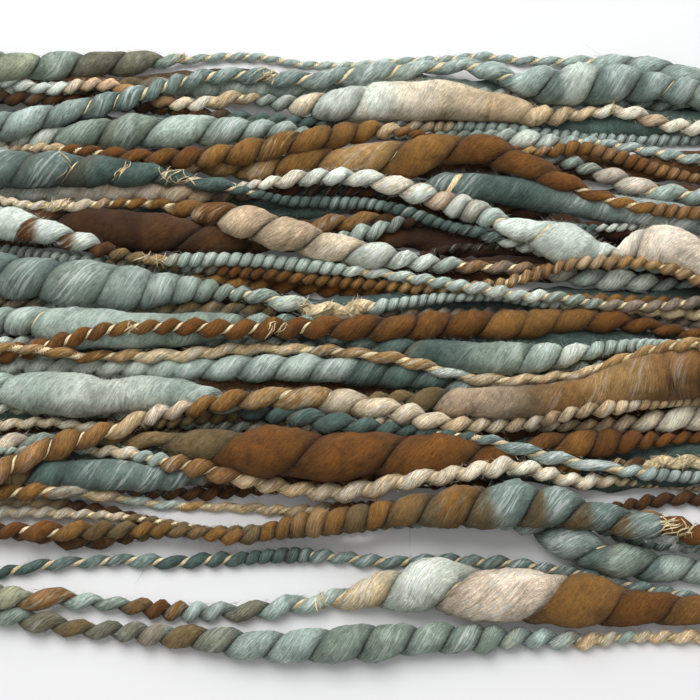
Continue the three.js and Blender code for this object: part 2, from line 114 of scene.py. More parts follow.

# Each strand as the photograph shows it, from the outermost wrap to the innermost, in its pixels.
# layer: place in the pile at the left and at the right, 1 lowest. route: x, y and thickness.
# dyes: x from which each colour runs. creases: x where one lobe of the yarn gives way to the next.
# gold: from x to x, the binder shows. coil: tight turns. fluff: loose, felted wool.
# tufts: frayed binder, with its x, spread and number of fibres. twist: x and how long a turn is.
# edges: from x to x, a band of one dye along the lower edge of the lobes, and its share of a turn; it
# widens where the yarn faces down in the view, so it is partly a lock of that dye and partly painted
# shade on the lower side.
FAR = """
layer 5 5
route 0:66:28 60:67:28 105:65:29 142:62:22 168:60:15 190:60:9 220:57:9 260:57:8 300:65:8 350:66:9 400:62:9
  450:60:9 480:56:9 520:61:9 560:62:11 590:64:18 620:66:24 670:72:24 700:82:22
dyes 0:moss 38:sage 80:loden 160:sage 200:teal 322:pale 378:teal
gold 178:600
tufts 182:8:5
twist 150:1 200:1.3
creases 33 75 118

layer 7 7
route 0:128:30 25:122:28 70:112:22 103:105:24 130:98:20 155:90:16 180:82:16 210:76:16 250:75:16 290:80:17
  330:79:20 375:73:22 420:69:17 460:65:15 490:70:19 520:84:22 535:85:34 560:86:42 590:85:40 620:84:42
  650:86:30 690:93:26
dyes 0:teal 70:slate 300:teal 526:pale 570:aqua 608:teal
gold 80:540 650:700
tufts 264:9:5 272:7:6
edges 500:700:slate:0.38
creases 48 88 117 145 165 183 210 240 270 303 345 393 437 475 507 547 591 635 668

layer 4 4
route 0:78:13 20:85:13 50:90:13 90:84:13 110:85:13 165:103:13 200:105:14 225:99:18 250:98:10 270:102:12
  297:106:20 330:106:30 380:102:40 440:100:42 500:108:27 545:117:18 590:113:11 615:110:12 640:115:15
  660:123:14 690:128:14
dyes 0:mist 65:cream 85:peach 120:copper 165:tan 183:ivory 214:tan 255:slate 285:cream 310:pale 350:mist
  385:ivory 425:cream 475:tan 500:fawn 530:tan 590:ivory 650:peach 672:ivory
gold 205:250 560:640
fluff 365:530
tufts 610:5:5

layer 1 1
route 0:92:12 110:86:14 150:87:20 240:88:22 300:90:20 340:93:16 450:92:12 560:100:14 700:108:14
dyes 0:pale 60:taupe 165:aqua 450:teal
fluff 0:320

layer 1 3
route 0:98:14 60:100:14 110:102:14 145:108:14 200:115:14 300:122:12 430:127:12 480:127:12 520:130:12
  560:136:12 640:140:12 700:141:12
dyes 0:dark 220:deep 330:slate 400:tan 455:teal
gold 430:700
coil 430:700

layer 4 5
route 0:145:16 40:140:20 80:136:30 125:133:36 180:131:36 228:131:26 258:130:22 283:129:18 310:133:8
  400:136:8 480:135:9 505:138:16 532:141:24 560:142:12 600:143:12 640:150:12 665:154:12 700:161:12
dyes 0:pale 50:sage 150:aqua 300:sage 505:pale 550:teal
gold 560:700
creases 57 105 152 207 246 270 294

layer 6 5
route 0:150:8 25:149:8 45:148:10 70:150:12 90:152:13 120:156:16 150:158:18 200:158:20 250:152:24
  290:143:24 325:138:24 365:131:22 395:130:14 415:134:8 480:146:8 530:152:10 552:152:12 575:147:16
  600:152:16 630:161:15 660:171:14 700:180:12
dyes 0:tan 60:rust 200:brown 375:tan 400:rust 518:caramel 545:brown 590:copper 625:rust 650:copper
gold 25:110
coil 560:700

layer 1 4
route 0:165:14 300:160:14 480:150:14 565:160:14 585:168:14 618:180:22 650:192:20 700:197:18
dyes 0:aqua 480:teal 565:sage 605:pink 660:aqua
gold 640:700

layer 3 7
route 0:175:20 100:172:20 160:168:20 200:165:20 225:167:22 260:171:24 300:163:28 345:162:34 400:160:40
  440:150:36 480:148:30 520:164:28 560:180:22 590:194:12 620:203:12 650:209:12 700:214:14
dyes 0:taupe 170:tan 205:caramel 270:brown 325:caramel 400:brown 470:rust 600:brown 650:copper
gold 385:400 575:700
coil 650:700
creases 242 277 322 392 452 503 547 582 612

layer 8 5
route 0:170:38 40:170:38 90:171:32 140:174:25 175:177:14 210:184:17 240:190:10 262:196:9 290:202:12
  330:203:12 365:203:12 390:207:12 410:213:12 425:218:12 440:224:12 460:229:12 480:233:12 520:246:12
  600:262:12 700:272:12
dyes 0:slate 90:deep 240:deep 330:slate 385:deep 505:pale 560:teal
gold 55:80 110:135 160:480
coil 262:480
tufts 67:9:4 122:10:5 165:9:4 178:14:5 190:12:4
creases 22 72 120 160 190 232

layer 4.5 3
route 0:190:20 50:193:22 110:191:22 170:192:20 205:196:16 260:192:14 330:190:14 400:193:14 440:185:22
  480:188:26 515:192:28 560:200:28 600:207:28 650:213:28 690:222:28
dyes 0:mist 60:ivory 110:pink 170:tan 205:mauve 260:umber 420:slate 470:deep 560:teal
gold 425:470
fluff 0:220 430:700

layer 2 9
route 0:190:10 120:190:10 200:188:8 232:187:6 265:184:12 300:178:16 335:176:17 365:178:19 392:185:22
  415:192:22 435:199:22 455:206:24 480:213:26 500:222:20 525:232:26 568:244:42 600:253:22 615:252:12
  640:248:36 665:245:42 690:256:40 700:262:40
dyes 0:taupe 225:ivory 300:mist 365:ivory 400:mist 430:peach 447:mist 462:peach 474:aqua 495:mist 600:mist
  620:shell
gold 262:278 490:505 535:550
fluff 545:598 650:700
creases 277 303 325 348 378 407 432 449 466 484 499 543

layer 2 2
route 0:216:26 60:222:36 100:228:38 150:233:40 200:240:36 240:242:32 290:232:22 330:224:18 370:220:18
  400:216:16 520:212:18 600:230:14 700:245:14
dyes 0:dark 60:umber 100:dark 125:umber 150:dark 185:umber 215:dark 240:umber 265:dark 300:copper 360:dark
  500:umber
fluff 90:140
twist 0:1.5

layer 1 3
route 0:232:10 100:236:10 200:238:10 300:243:12 340:240:14 360:234:18 383:229:16 400:222:12 450:221:9
  520:226:8 590:228:8 620:228:8 655:224:8 700:236:8
dyes 0:umber 320:aqua 395:umber 460:deep 600:pale

layer 7 5
route 0:200:8 30:206:8 70:206:12 110:204:10 137:203:11 160:204:11 183:210:20 212:214:22 245:222:32
  285:234:34 335:249:28 372:255:26 400:259:20 425:263:18 450:265:14 475:267:13 500:268:13 525:268:13
  560:275:16 600:280:22 625:280:24 660:285:16 700:286:14
dyes 0:cream 100:brown 190:rust 228:fawn 300:cream 350:cream 372:pale 437:aqua 458:copper 490:mauve
  520:copper 560:aqua 600:pale 650:aqua
gold 0:180 455:530
tufts 50:8:4 66:12:7
edges 150:228:fawn:0.22
creases 126 146 168 197 228 264 309 354 392 413 434

layer 7 8
route 0:222:34 40:231:24 75:240:22 100:248:16 125:256:13 155:260:10 185:260:14 225:259:14 270:261:15
  310:266:15 345:270:13 375:273:12 400:276:12 460:286:12 490:290:12 520:296:12 560:297:12 600:305:12
  650:307:12 700:302:12
dyes 0:mist 30:mist 65:pale 88:dark 116:taupe 140:caramel 172:aqua 345:pale 400:aqua 470:pale 540:sage
  600:mauve
gold 130:172 345:700
coil 172:345
fluff 0:40
tufts 145:9:6 160:9:6
edges 12:112:rust:0.42
creases 25 64 95 112 127 145

layer 1 10
route 0:250:12 100:262:12 200:268:12 300:278:12 400:287:12 460:290:13 500:285:13 540:273:13 575:263:13
  605:262:13 650:263:13 690:275:13 700:282:13
dyes 0:mist 60:aqua 100:taupe 185:sage 212:rust 290:brown 400:caramel 520:copper 575:tan 605:caramel
gold 500:530 650:700
twist 0:0.7

layer 2 2
route 0:262:10 100:266:12 200:272:14 340:270:14 400:262:10 450:248:8 540:246:8 620:262:8 700:275:8
dyes 0:sage 400:umber 540:sage

layer 3 3
route 0:285:12 100:285:12 200:280:14 240:285:16 290:285:18 330:290:16 370:290:16 400:293:14 450:293:14
  520:298:12 600:300:12 700:303:12
dyes 0:brown 260:rust 400:brown

layer 7 7
route 0:275:46 75:284:48 125:288:46 155:289:36 180:289:28 202:290:24 220:292:18 240:294:15 265:297:16
  290:304:20 320:311:16 350:311:18 380:306:15 410:302:13 440:298:12 470:297:10 500:296:10 540:303:12
  590:305:13 650:311:13 700:314:13
dyes 0:slate 30:sage 80:aqua 190:sage 260:aqua 305:gold 367:aqua 560:sage 620:gold
gold 230:700
coil 380:560
tufts 306:9:8 328:14:9 345:12:8 359:10:8
creases 50 107 146 175 197 216 232 246

layer 2 2
route 0:303:14 60:306:15 120:311:16 200:309:15 280:310:14 400:314:12 550:314:12 700:324:12
dyes 0:mauve 120:taupe 300:mauve
"""

NEAR = """
layer 6 6
route 0:613:22 30:620:22 60:625:20 85:630:20 105:630:20 130:632:20 155:635:24 185:637:26 215:640:28
  245:645:32 285:647:36 325:645:38 365:643:36 405:640:33 440:638:30 475:639:28 510:638:22 540:638:20
  565:640:18 590:641:15 620:637:12 650:637:12 700:637:14
dyes 0:sage 30:taupe 44:slate 58:taupe 88:loden 141:teal 152:brown 165:olive 198:sage 215:taupe 232:teal
  330:sage 420:sage 500:teal 575:tan 610:aqua 640:tan
gold 575:700
creases 25 58 88 117 141 165 198 232 272 317 364 408 446 478 502 526 550 577

layer 7 7
route 0:595:26 20:600:22 50:598:22 80:600:18 110:604:15 140:607:18 160:610:20 190:612:19 220:611:19
  250:612:18 275:608:20 300:604:20 320:602:14 345:598:24 375:592:34 400:590:40 430:585:48 465:590:54
  500:596:60 540:598:58 580:600:54 620:606:40 650:609:36 690:610:30
dyes 0:moss 10:taupe 22:copper 68:aqua 97:sage 124:loden 135:brown 148:rust 166:brown 184:teal 227:loden
  240:loden 262:teal 297:aqua 330:sage 345:tan 365:aqua 390:pale 452:pink 545:brown 612:rust 640:brown
  640:rust 670:brown
gold 290:460
tufts 322:8:6
creases 22 68 97 124 148 166 184 202 227 262 297 338 390 452 545 612 668

layer 5 5
route 0:573:13 25:568:13 45:565:13 70:562:13 90:563:13 110:560:13 150:561:14 175:563:14 200:560:14
  240:559:16 270:556:16 300:555:16 320:556:14 345:558:14 370:561:14 395:563:14 440:560:14 470:562:14
  500:563:14 540:568:14 580:574:14 640:588:14 700:600:14
dyes 0:deep 60:slate 150:deep 300:slate 420:slate
gold 0:700
coil 240:310
creases 14 47 79 105 130 157 184 208 226

layer 3 6
route 0:532:12 40:536:16 85:540:24 130:536:14 180:532:10 300:528:10 450:520:12 500:522:12 530:528:16
  565:543:34 615:560:40 670:569:28 700:570:26
dyes 0:dark 140:taupe 400:slate 500:teal 570:sage 640:aqua
gold 595:610 655:668
edges 540:700:slate:0.3
creases 540 590 646

layer 7 7
route 0:530:16 50:532:20 100:530:20 150:529:13 200:533:14 240:538:18 270:531:20 300:525:24 340:521:28
  380:514:28 420:510:32 460:508:42 500:505:50 550:506:42 595:516:32 640:526:28 700:538:20
dyes 0:rust 45:brown 95:taupe 135:brown 165:taupe 200:brown 245:olive 262:brown 300:caramel 320:brown
  345:taupe 366:brown 386:taupe 405:brown 424:brown 472:slate 505:slate 528:slate 585:slate 617:slate
  650:pale 680:slate
gold 20:60
coil 255:345
edges 440:650:taupe:0.42
creases 260 276 291 307 326 346 366 386 424 472 528 572 617 660

layer 3 3
route 0:503:14 60:504:14 120:514:12 190:532:10 240:538:8 300:534:8 350:530:8 420:520:12 520:516:14
  600:528:12 640:545:10 700:550:10
dyes 0:tan 60:dark 120:umber 200:olive 400:dark 560:slate 670:mist
fluff 0:300

layer 6 3
route 0:512:13 40:512:13 60:514:13 90:515:12 130:518:10 160:522:9 190:527:7 240:536:6 300:532:6 400:518:8
  500:512:8 600:520:8 700:543:8
dyes 0:ivory 60:cream 122:taupe 190:olive
gold 0:230

layer 3 7.4
route 0:494:16 30:491:16 60:491:14 95:494:13 130:500:12 160:505:10 190:506:10 220:507:9 250:508:10
  280:511:12 305:511:12 330:507:10 350:505:8 420:505:8 500:510:10 600:520:14 660:520:20 680:530:24
  700:535:24
dyes 0:brown 50:copper 68:aqua 90:tan 120:aqua 180:caramel 200:tan 330:brown 600:copper 660:rust
gold 0:330 600:700
tufts 668:9:8 682:8:6
creases 45 90 119 150 181 207 232 262

layer 3 3
route 0:478:24 60:474:28 110:475:30 160:479:24 220:472:20 300:470:16 400:478:14 500:488:14 560:503:12
  600:512:12 645:502:13 668:499:14 700:498:14
dyes 0:taupe 35:deep 90:slate 200:dark 500:brown 560:dark
fluff 60:220

layer 2 5
route 0:470:12 100:485:12 150:492:14 200:494:14 300:486:12 450:470:12 560:468:12 640:465:14 670:462:14
  700:462:14
dyes 0:dark 300:rust 500:brown 600:dark 650:gold
gold 630:700
tufts 650:10:8 665:12:9 685:14:9

layer 8 7
route 0:452:8 70:448:8 95:452:10 120:452:13 140:456:14 155:460:15 175:464:18 200:467:22 225:475:22
  250:480:18 275:486:19 300:490:17 325:493:19 355:492:22 385:486:22 415:478:20 450:475:18 480:470:16
  505:466:18 525:467:16 545:473:15 565:480:14 585:482:16 605:480:14 625:482:8 650:485:6 700:489:6
dyes 0:aqua 90:cream 130:aqua 165:copper 235:tan 315:cream 370:tan 400:cream 470:ivory 610:tan
gold 70:620
creases 135 150 163 186 210 238 260 283 310 336 366 400 432 460 485 511 536 557 578 598

layer 7.5 4.5
route 0:445:18 22:443:20 45:443:20 80:441:16 120:440:14 150:441:18 200:446:30 260:452:48 345:456:48
  420:455:42 470:457:36 510:455:24 530:448:18 545:443:22 575:446:28 605:443:28 627:441:22 645:440:18
  662:440:12 680:438:11 700:437:12
dyes 0:pink 30:sage 60:olive 212:rust 520:rust 575:brown 600:rust
creases 125 170 225 302 388 470 520 557 593 618 640 655

layer 2 4.6
route 0:408:12 100:412:12 200:425:12 300:430:12 400:420:12 500:425:12 600:426:14 650:422:20 685:418:26
  700:417:26
dyes 0:sage 300:cream 560:tan 620:cream 670:ivory

layer 5 4
route 0:425:11 45:422:11 65:424:11 90:428:11 150:425:11 200:418:12 300:410:14 400:400:20 440:402:26
  490:403:32 540:402:32 590:395:34 640:382:44 680:372:50 700:368:50
dyes 0:cream 55:ivory 95:olive 300:taupe 400:taupe 430:olive 452:fawn 500:mauve 515:taupe 540:copper
  585:caramel 650:copper
gold 0:95
fluff 470:700

layer 9 7
route 0:475:20 15:462:20 35:455:24 60:445:26 90:436:20 125:427:18 150:415:17 175:411:15 200:407:18
  230:400:19 260:399:22 305:398:25 345:403:28 375:407:22 405:413:20 430:421:19 460:425:15 500:426:13
  540:421:13 580:411:14 610:408:18 640:404:12 680:402:10 700:402:11
dyes 0:copper 60:brown 90:copper 126:tan 140:pink 180:brown 245:caramel 330:cream 360:caramel 375:cream
  445:tan 480:cream 512:tan 530:cream 548:copper 566:cream 584:caramel 602:tan 622:cream 640:caramel
  655:tan
gold 0:140 280:370
coil 610:700
creases 13 48 78 110 144 166 188 212 243 280 323 358 395 417 445

layer 5 6
route 0:388:26 40:394:38 75:396:44 106:397:31 140:395:38 180:395:33 215:400:26 240:408:20 300:418:20
  350:425:20 395:430:14 420:432:12 450:435:10 490:440:12 520:450:15 555:458:14 590:465:13 620:470:13
  650:474:14 700:478:14
dyes 0:aqua 60:pale 150:aqua 235:deep 470:slate 520:blue
gold 420:700
coil 650:700
fluff 20:190
creases 498 536 570 618

layer 4 4
route 0:366:18 120:368:20 160:369:22 215:369:24 300:368:26 360:372:28 420:378:26 460:385:20 520:392:18
  600:392:18 700:385:18
dyes 0:pale 140:aqua 200:aqua 340:deep 450:teal 500:dark
fluff 0:200

layer 9 9
route 0:347:11 60:352:12 80:357:12 110:356:12 170:356:14 200:354:14 215:351:13 240:349:13 270:349:13
  330:351:13 360:354:13 390:358:13 410:362:13 430:368:13 450:373:13 475:379:13 500:381:13 520:381:12
  545:378:12 565:376:12 585:375:12 600:367:12 620:360:12 640:355:12 655:350:12 680:345:12 700:343:12
dyes 0:caramel 58:brown 125:tan 196:aqua 212:tan 290:caramel 440:pale 480:tan 600:caramel
gold 0:700
twist 0:1.45

layer 2 2
route 0:343:14 50:343:14 165:342:14 250:342:14 330:350:14 420:365:14 520:370:14 620:368:14 700:372:14
dyes 0:pale 165:aqua 290:slate 400:sage

layer 4 6
route 0:322:26 25:321:28 75:328:40 135:332:34 200:328:30 260:325:20 300:320:14 325:332:14 345:342:16
  400:350:24 440:355:28 480:360:34 520:358:30 550:357:28 575:354:22 600:349:16 630:346:14 660:345:12
  700:347:12
dyes 0:aqua 150:sage 260:slate 340:deep 470:sage 520:aqua 560:pale 590:aqua
gold 36:48 318:334 590:700
coil 590:670
fluff 50:240 430:520

layer 8 8
route 0:355:20 20:352:18 50:345:16 75:338:15 95:332:15 120:328:14 145:327:15 200:327:16 230:330:18
  275:328:19 330:328:22 380:328:26 420:327:28 450:325:28 520:325:28 560:320:26 600:320:24 625:322:20
  650:326:16 670:331:14 700:336:12
dyes 0:rust 100:brown 150:rust 500:brown 600:rust
gold 0:330
tufts 268:7:3 284:7:3 130:7:4
twist 0:0.85 300:0.85 350:1.1
"""

# The lowest wraps: how far up their far and near runs lie, and their dyes. These dyes are all dark: the
# wraps fill the gaps between the strands above, and their darkness paints the shade in those gaps.
BED = [
    (65.5, -30, "0:dark 300:deep"),
    (56, -25, "0:deep 200:umber 500:deep"),
    (46.5, -20, "0:umber 250:dark"),
    (37, -15, "0:deep 350:dark"),
    (28, -9.5, "0:dark 400:umber"),
    (19.5, -4, "0:deep 300:umber"),
    (11, 2, "0:umber 300:deep"),
]
BED_HIGH, BED_WIDE, BED_WANDER = 5, 12.5, 0.8
BED_FLAT = 1.9  # their width, in their heights
BED_WAVE = 25
BED_TURN = 45.0  # length of a turn of their twist

rng = np.random.default_rng(7)


# Small helpers
def smooth(low, high, value):
    t = np.clip((value - low) / (high - low), 0, 1)
    return t * t * (3 - 2 * t)


def mix(a, b, share):
    return a + (b - a) * share


def unit(vectors):
    return vectors / np.linalg.norm(vectors, axis=1)[:, None]


def blurred(values, reach):
    """values, each spread over reach samples to both sides."""
    kernel = np.hanning(2 * reach + 3)[1:-1]
    kernel /= kernel.sum()
    padded = np.pad(values, [(reach, reach)] + [(0, 0)] * (values.ndim - 1), mode="edge")
    return np.apply_along_axis(np.convolve, 0, padded, kernel, mode="valid")


def neighbours(values):
    """Each value's neighbour before it, the value itself and its neighbour after it, in their row."""
    padded = np.pad(values, [(0, 0)] * (values.ndim - 1) + [(1, 1)], mode="edge")
    return padded[..., :-2], values, padded[..., 2:]


def softened(values, times):
    for _ in range(times):
        before, here, after = neighbours(values)
        values = (before + 2 * here + after) / 4
    return values


def wave(length, scale, channels=1):
    """Smooth seeded noise from -1 to 1 along a closed row of samples."""
    knots = max(4, int(length * FINE / scale))
    values = rng.uniform(-1, 1, (knots, channels))
    values = np.concatenate([values, values[:1]])
    place = np.linspace(0, knots, length, endpoint=False)
    i = place.astype(int)
    row = mix(values[i], values[i + 1], smooth(0, 1, place - i)[:, None])
    return row[:, 0] if channels == 1 else row


def uneven(length, most, scale):
    return most * wave(length, scale)


def round_noise(noise, sample, angle, eased=False):
    """Noise whose channels go round the yarn, read at samples and angles."""
    channels = noise.shape[1]
    place = angle % ROUND / ROUND * channels
    low = place.astype(int)
    share = smooth(0, 1, place - low) if eased else place - low
    return mix(noise[sample, low % channels], noise[sample, (low + 1) % channels], share)


def linear(colour):
    c = np.asarray(colour, float) / 255
    return np.where(c <= 0.04045, c / 12.92, ((c + 0.055) / 1.055) ** 2.4)


def dyed(name):
    """A dye's linear colour and how silky it is."""
    return np.array([*linear(DYES[name][:3]), DYES[name][3]])


# The strands' tables
STRAND_ROWS = ("layer", "route", "dyes", "gold", "coil", "tufts", "twist", "fluff", "creases", "edges")


def read_strands(table):
    """The strands of a table. A strand starts with its layer, and colons join what belongs together."""
    strands = []
    for word in table.split():
        if word == "layer":
            strands.append({key: [] for key in STRAND_ROWS})
        if word in STRAND_ROWS:
            row = strands[-1][word]
            continue
        parts = [part if part.isalpha() else float(part) for part in word.split(":")]
        row.append(parts if len(parts) > 1 else parts[0])
    return [SimpleNamespace(**strand) for strand in strands]


def pictured_strand(one):
    """Gives a strand its height in the view and its thickness at each of SIDES."""
    x, y, thick = np.transpose(one.route)
    at = PHOTO_MIDDLE + SIDES * PIXELS_PER_MM
    fine = np.linspace(at[0], at[-1], 4 * (len(at) - 1) + 1)
    one.up = (PHOTO_MIDDLE - blurred(np.interp(fine, x, y), 7)[::4]) / PIXELS_PER_MM
    one.thick = blurred(np.interp(fine, x, thick), 4)[::4] / PIXELS_PER_MM
    return one


def bed_strand(up, dyes):
    one = read_strands("layer 0 0 dyes " + dyes)[0]
    one.up = up + BED_WANDER * np.sin(SIDES / BED_WAVE + up)
    depth = -(FORWARD[2] * VIEW_DISTANCE + up * UPWARD[2]) / EYE_HEIGHT
    one.thick = np.full(len(SIDES), BED_HIGH * depth)
    return one


# Laying the strands
def lay_measured(strands):
    """Puts each strand where its line of sight meets the floor or the strands that lie below it."""
    for one in strands:
        across = np.stack([SIDES, 0 * SIDES, 0 * SIDES], 1)
        one.lines = across + FORWARD * VIEW_DISTANCE + one.up[:, None] * UPWARD
        one.radii = one.thick / 2 * EYE_HEIGHT / -one.lines[:, 2]
    lines = np.array([one.lines for one in strands])
    radii = np.array([one.radii for one in strands])
    layers = np.array([one.layer for one in strands])
    reach = np.full(radii.shape, np.inf)
    length2 = (lines**2).sum(2)
    floor = (EYE[2] - radii * SETTLE) / -lines[:, :, 2]
    for _ in range(3):
        for i, share in enumerate(np.linspace(0, 1, len(SIDES))):
            order = np.argsort(mix(layers[:, 0], layers[:, 1], share), kind="stable")
            points = np.empty((len(strands), 3))
            for k, s in enumerate(order):
                rest = floor[s, i]
                done = order[:k]
                gap = NESTLE * (radii[s, i] + radii[done, i])
                middle = points[done] @ lines[s, i] / length2[s, i]
                miss2 = (points[done] ** 2).sum(1) - middle**2 * length2[s, i]
                hit = miss2 < gap**2
                if hit.any():
                    near = middle[hit] - np.sqrt((gap[hit] ** 2 - miss2[hit]) / length2[s, i])
                    rest = min(rest, near.min())
                reach[s, i] = min(reach[s, i], rest)
                points[s] = lines[s, i] * reach[s, i]
        reach = softened(np.min(neighbours(reach), 0), 6)
    for one, row in zip(strands, reach):
        one.points = EYE + one.lines * row[:, None]


RUN_STEPS = 16
ARC_STEPS = 16
JOIN_SHARE = 0.72  # from here on, a turned end takes the height and thickness of the run that it joins
END_SLUBS = (2, 4)  # slubs on a turned end: at least the first number, fewer than the second
END_SLUB_PLACE, END_SLUB_WIDE, END_SLUB_HIGH = (0.08, 0.92), (0.05, 0.12), (0.3, 1.0)
END_SLUB_MOST = 2.6
THINNEST = (3.0, 3.8)  # thickness of a turned end between its slubs


def turn_path(wrap, side):
    """Plan of one turned end, from the far run round to the near run, and how it swells."""
    pick = -1 if side > 0 else 0
    share = np.arange(1, RUN_STEPS + 1) / (RUN_STEPS + 1)

    def run(start, turn):
        across = mix(start[0], side * TURN_CENTRE, share)
        return np.stack([across, mix(start[1], turn, smooth(0, 1, share)), share * 0], 1)

    angle = np.pi * (0.5 - np.arange(ARC_STEPS + 1) / ARC_STEPS)
    x, y = side * (TURN_CENTRE + wrap.turn * np.cos(angle)), wrap.turn * np.sin(angle)
    start, stop = wrap.far.points[pick], wrap.near.points[pick]
    arc = np.stack([x, y, 0 * angle], 1)
    path = np.concatenate([run(start, wrap.turn), arc, run(stop, -wrap.turn)[::-1]])
    along = np.arange(len(path)) / (len(path) - 1)
    blend = smooth(JOIN_SHARE, 1, np.abs(2 * along - 1))
    joined = np.where(along < 0.5, wrap.far.radii[pick], wrap.near.radii[pick])
    height = np.where(along < 0.5, start[2], stop[2])
    plain = np.full(len(path), wrap.thin / 2)
    for _ in range(rng.integers(*END_SLUBS)):
        middle = rng.uniform(*END_SLUB_PLACE)
        wide = rng.uniform(*END_SLUB_WIDE)
        most = rng.uniform(*END_SLUB_HIGH) * min(END_SLUB_MOST, 0.12 * wrap.turn + 0.6)
        plain += most * np.cos(np.clip((along - middle) / wide, -1, 1) * np.pi / 2) ** 2
    return path, blend, mix(plain, joined, blend), height


def lay_ends(wraps):
    """Gives each wrap its turned ends, which lie on those of the wraps below."""
    for side in (1, -1):
        done, sizes = np.empty((0, 3)), np.empty(0)
        for wrap in sorted(wraps, key=lambda w: w.rank):
            path, blend, radii, height = turn_path(wrap, side)
            rest = radii * SETTLE
            if len(done):
                away = np.hypot(path[:, None, 0] - done[:, 0], path[:, None, 1] - done[:, 1])
                gap = NESTLE * (radii[:, None] + sizes)
                top = np.where(away < gap, done[:, 2] + np.sqrt(np.maximum(gap**2 - away**2, 0)), 0)
                rest = np.maximum(rest, top.max(1))
            path[:, 2] = mix(softened(np.max(neighbours(rest), 0), 3), height, blend)
            done, sizes = np.concatenate([done, path]), np.concatenate([sizes, radii])
            wrap.ends[side] = (path, radii)


RANK_SHARE = 0.9  # how fast a wrap's rank rises with its layer


def build_wraps():
    shown = [
        SimpleNamespace(far=pictured_strand(far), near=pictured_strand(near), wide=False, ends={})
        for far, near in zip(read_strands(FAR), read_strands(NEAR))
    ]
    bed = [
        SimpleNamespace(far=bed_strand(far, dyes), near=bed_strand(near, dyes), wide=True, ends={})
        for far, near, dyes in BED
    ]
    lay_measured([one for wrap in shown + bed for one in (wrap.far, wrap.near)])
    most = HANK_LENGTH / 2 - TURN_CENTRE - BED_WIDE / 2
    for group in (shown, bed):
        for number, wrap in enumerate(group):
            nested = 1 - number / (len(group) - 1)
            wrap.rank = np.mean(wrap.far.layer + wrap.near.layer) * RANK_SHARE
            wrap.turn = mix(TURN_INNER, most - wrap.rank * INSET, nested)
            wrap.thin = rng.uniform(*THINNEST)
    lay_ends(shown + bed)
    return shown + bed


# One wrap's yarn
# Samples over which each of its rows is evened out.
EVEN = SimpleNamespace(
    line=6, crease=8, radius=12, dye=18, bound=24, fluff=40, twist=60, felt_dye=70, flat=120
)
# Unevenness along the yarn: how much, and over what length.
TURN_WAVE, RADIUS_WAVE, SLUB_WAVE = (0.16, 9), (0.1, 5.5), (0.07, 3.4)
FELT_WAVE = (0.4, 30)
LUMP_WAVE, LUMPS = 3.5, 24  # lumps on the yarn: their length and how many lie round it
PUFF_WAVE, PUFFS = 6, 9
THIN_WIDE, SLUB_WIDE, COIL_WIDE = 1.16, 1.05, 1.04  # thickness of the yarn, in the room that it takes
END_DYE = (14, 60)  # lengths of one dye on a turned end
END_GOLD = -0.25  # how low the noise of a turned end may be where its binder shows
SLUB, FAT = (4.2, 7.0), (7, 11)  # thickness from which yarn turns into a slub and into a fat one
# Sides of a ring, and the thicknesses at which it gets more of them, where it is seen and elsewhere.
SEEN_SIDES, SEEN_STEPS = np.array([12, 14, 18, 24]), (4.4, 6.8, 9.5)
REAR_SIDES, REAR_STEPS = np.array([8, 10, 12]), (5, 7.5)
RINGS, COIL_RINGS, REAR_RINGS = 11.5, 10.0, 5.8  # rings for each turn of the twist
RING_STEP = 1.9  # the longest way from ring to ring


def ranges(at, pairs, soft=3):
    """1 inside any of the pairs of places, 0 outside, with soft edges."""
    inside = np.zeros(len(at))
    for low, high in pairs:
        within = smooth(low - soft, low + soft, at) * (1 - smooth(high - soft, high + soft, at))
        inside = np.maximum(inside, within)
    return inside


def dye_rows(one, at):
    """Colour and accent colour of a strand at places along it."""
    starts = [start for start, _ in one.dyes]
    colours = np.array([dyed(name) for _, name in one.dyes])
    index = np.clip(np.searchsorted(starts, at, side="right") - 1, 0, len(starts) - 1)
    return colours[index], colours[np.clip(index + 1, 0, len(starts) - 1)]


def outside_dyes(wrap, length):
    """Dyes of a turned end: those of its two runs, in new stretches."""
    names = [name for _, name in wrap.far.dyes + wrap.near.dyes]
    base, accent = np.empty((length, 4)), np.empty((length, 4))
    place = 0
    while place < length:
        step = int(rng.uniform(*END_DYE) / FINE)
        for row in (base, accent):
            row[place : place + step] = dyed(names[rng.integers(len(names))])
        place += step
    return base, accent


def spline(points, closed_values):
    """The closed smooth line through points, sampled about every FINE, with other rows carried."""
    long = np.linalg.norm(np.roll(points, -1, 0) - points, axis=1)
    steps = np.maximum(1, np.round(long / FINE)).astype(int)
    index = np.repeat(np.arange(len(points)), steps)
    t = (np.arange(len(index)) - np.repeat(np.cumsum(steps) - steps, steps)) / steps[index]
    carried = [mix(values[index], np.roll(values, -1)[index], t) for values in closed_values]
    t = t[:, None]
    a, b, c, d = [np.roll(points, shift, 0)[index] for shift in (1, 0, -1, -2)]
    line = b + 0.5 * t * (c - a + t * (2 * a - 5 * b + 4 * c - d + t * (3 * (b - c) + d - a)))
    return line, carried, index


def fit_creases(turned, row, wrap):
    """The turns made up to each sample, moved so that creases cross the front where they are given."""
    for part, one in ((0, wrap.far), (2, wrap.near)):
        if not one.creases:
            continue
        here = np.flatnonzero(row.part == part)
        found = np.sort([here[np.argmin(np.abs(row.at[here] - x))] for x in one.creases])
        wanted = -row.facing[found] / ROUND
        start = np.round(turned[found[0]] - wanted[0]) + np.arange(len(found))
        moved = wanted + start - turned[found]
        first, last = row.place[found[0]], row.place[found[-1]]
        knots = [max(first - CREASE_EASE, 0), *row.place[found], last + CREASE_EASE]
        moved = np.interp(row.place, knots, [0, *moved, np.round(moved[-1])])
        turned = turned + blurred(moved, EVEN.crease)
    return turned


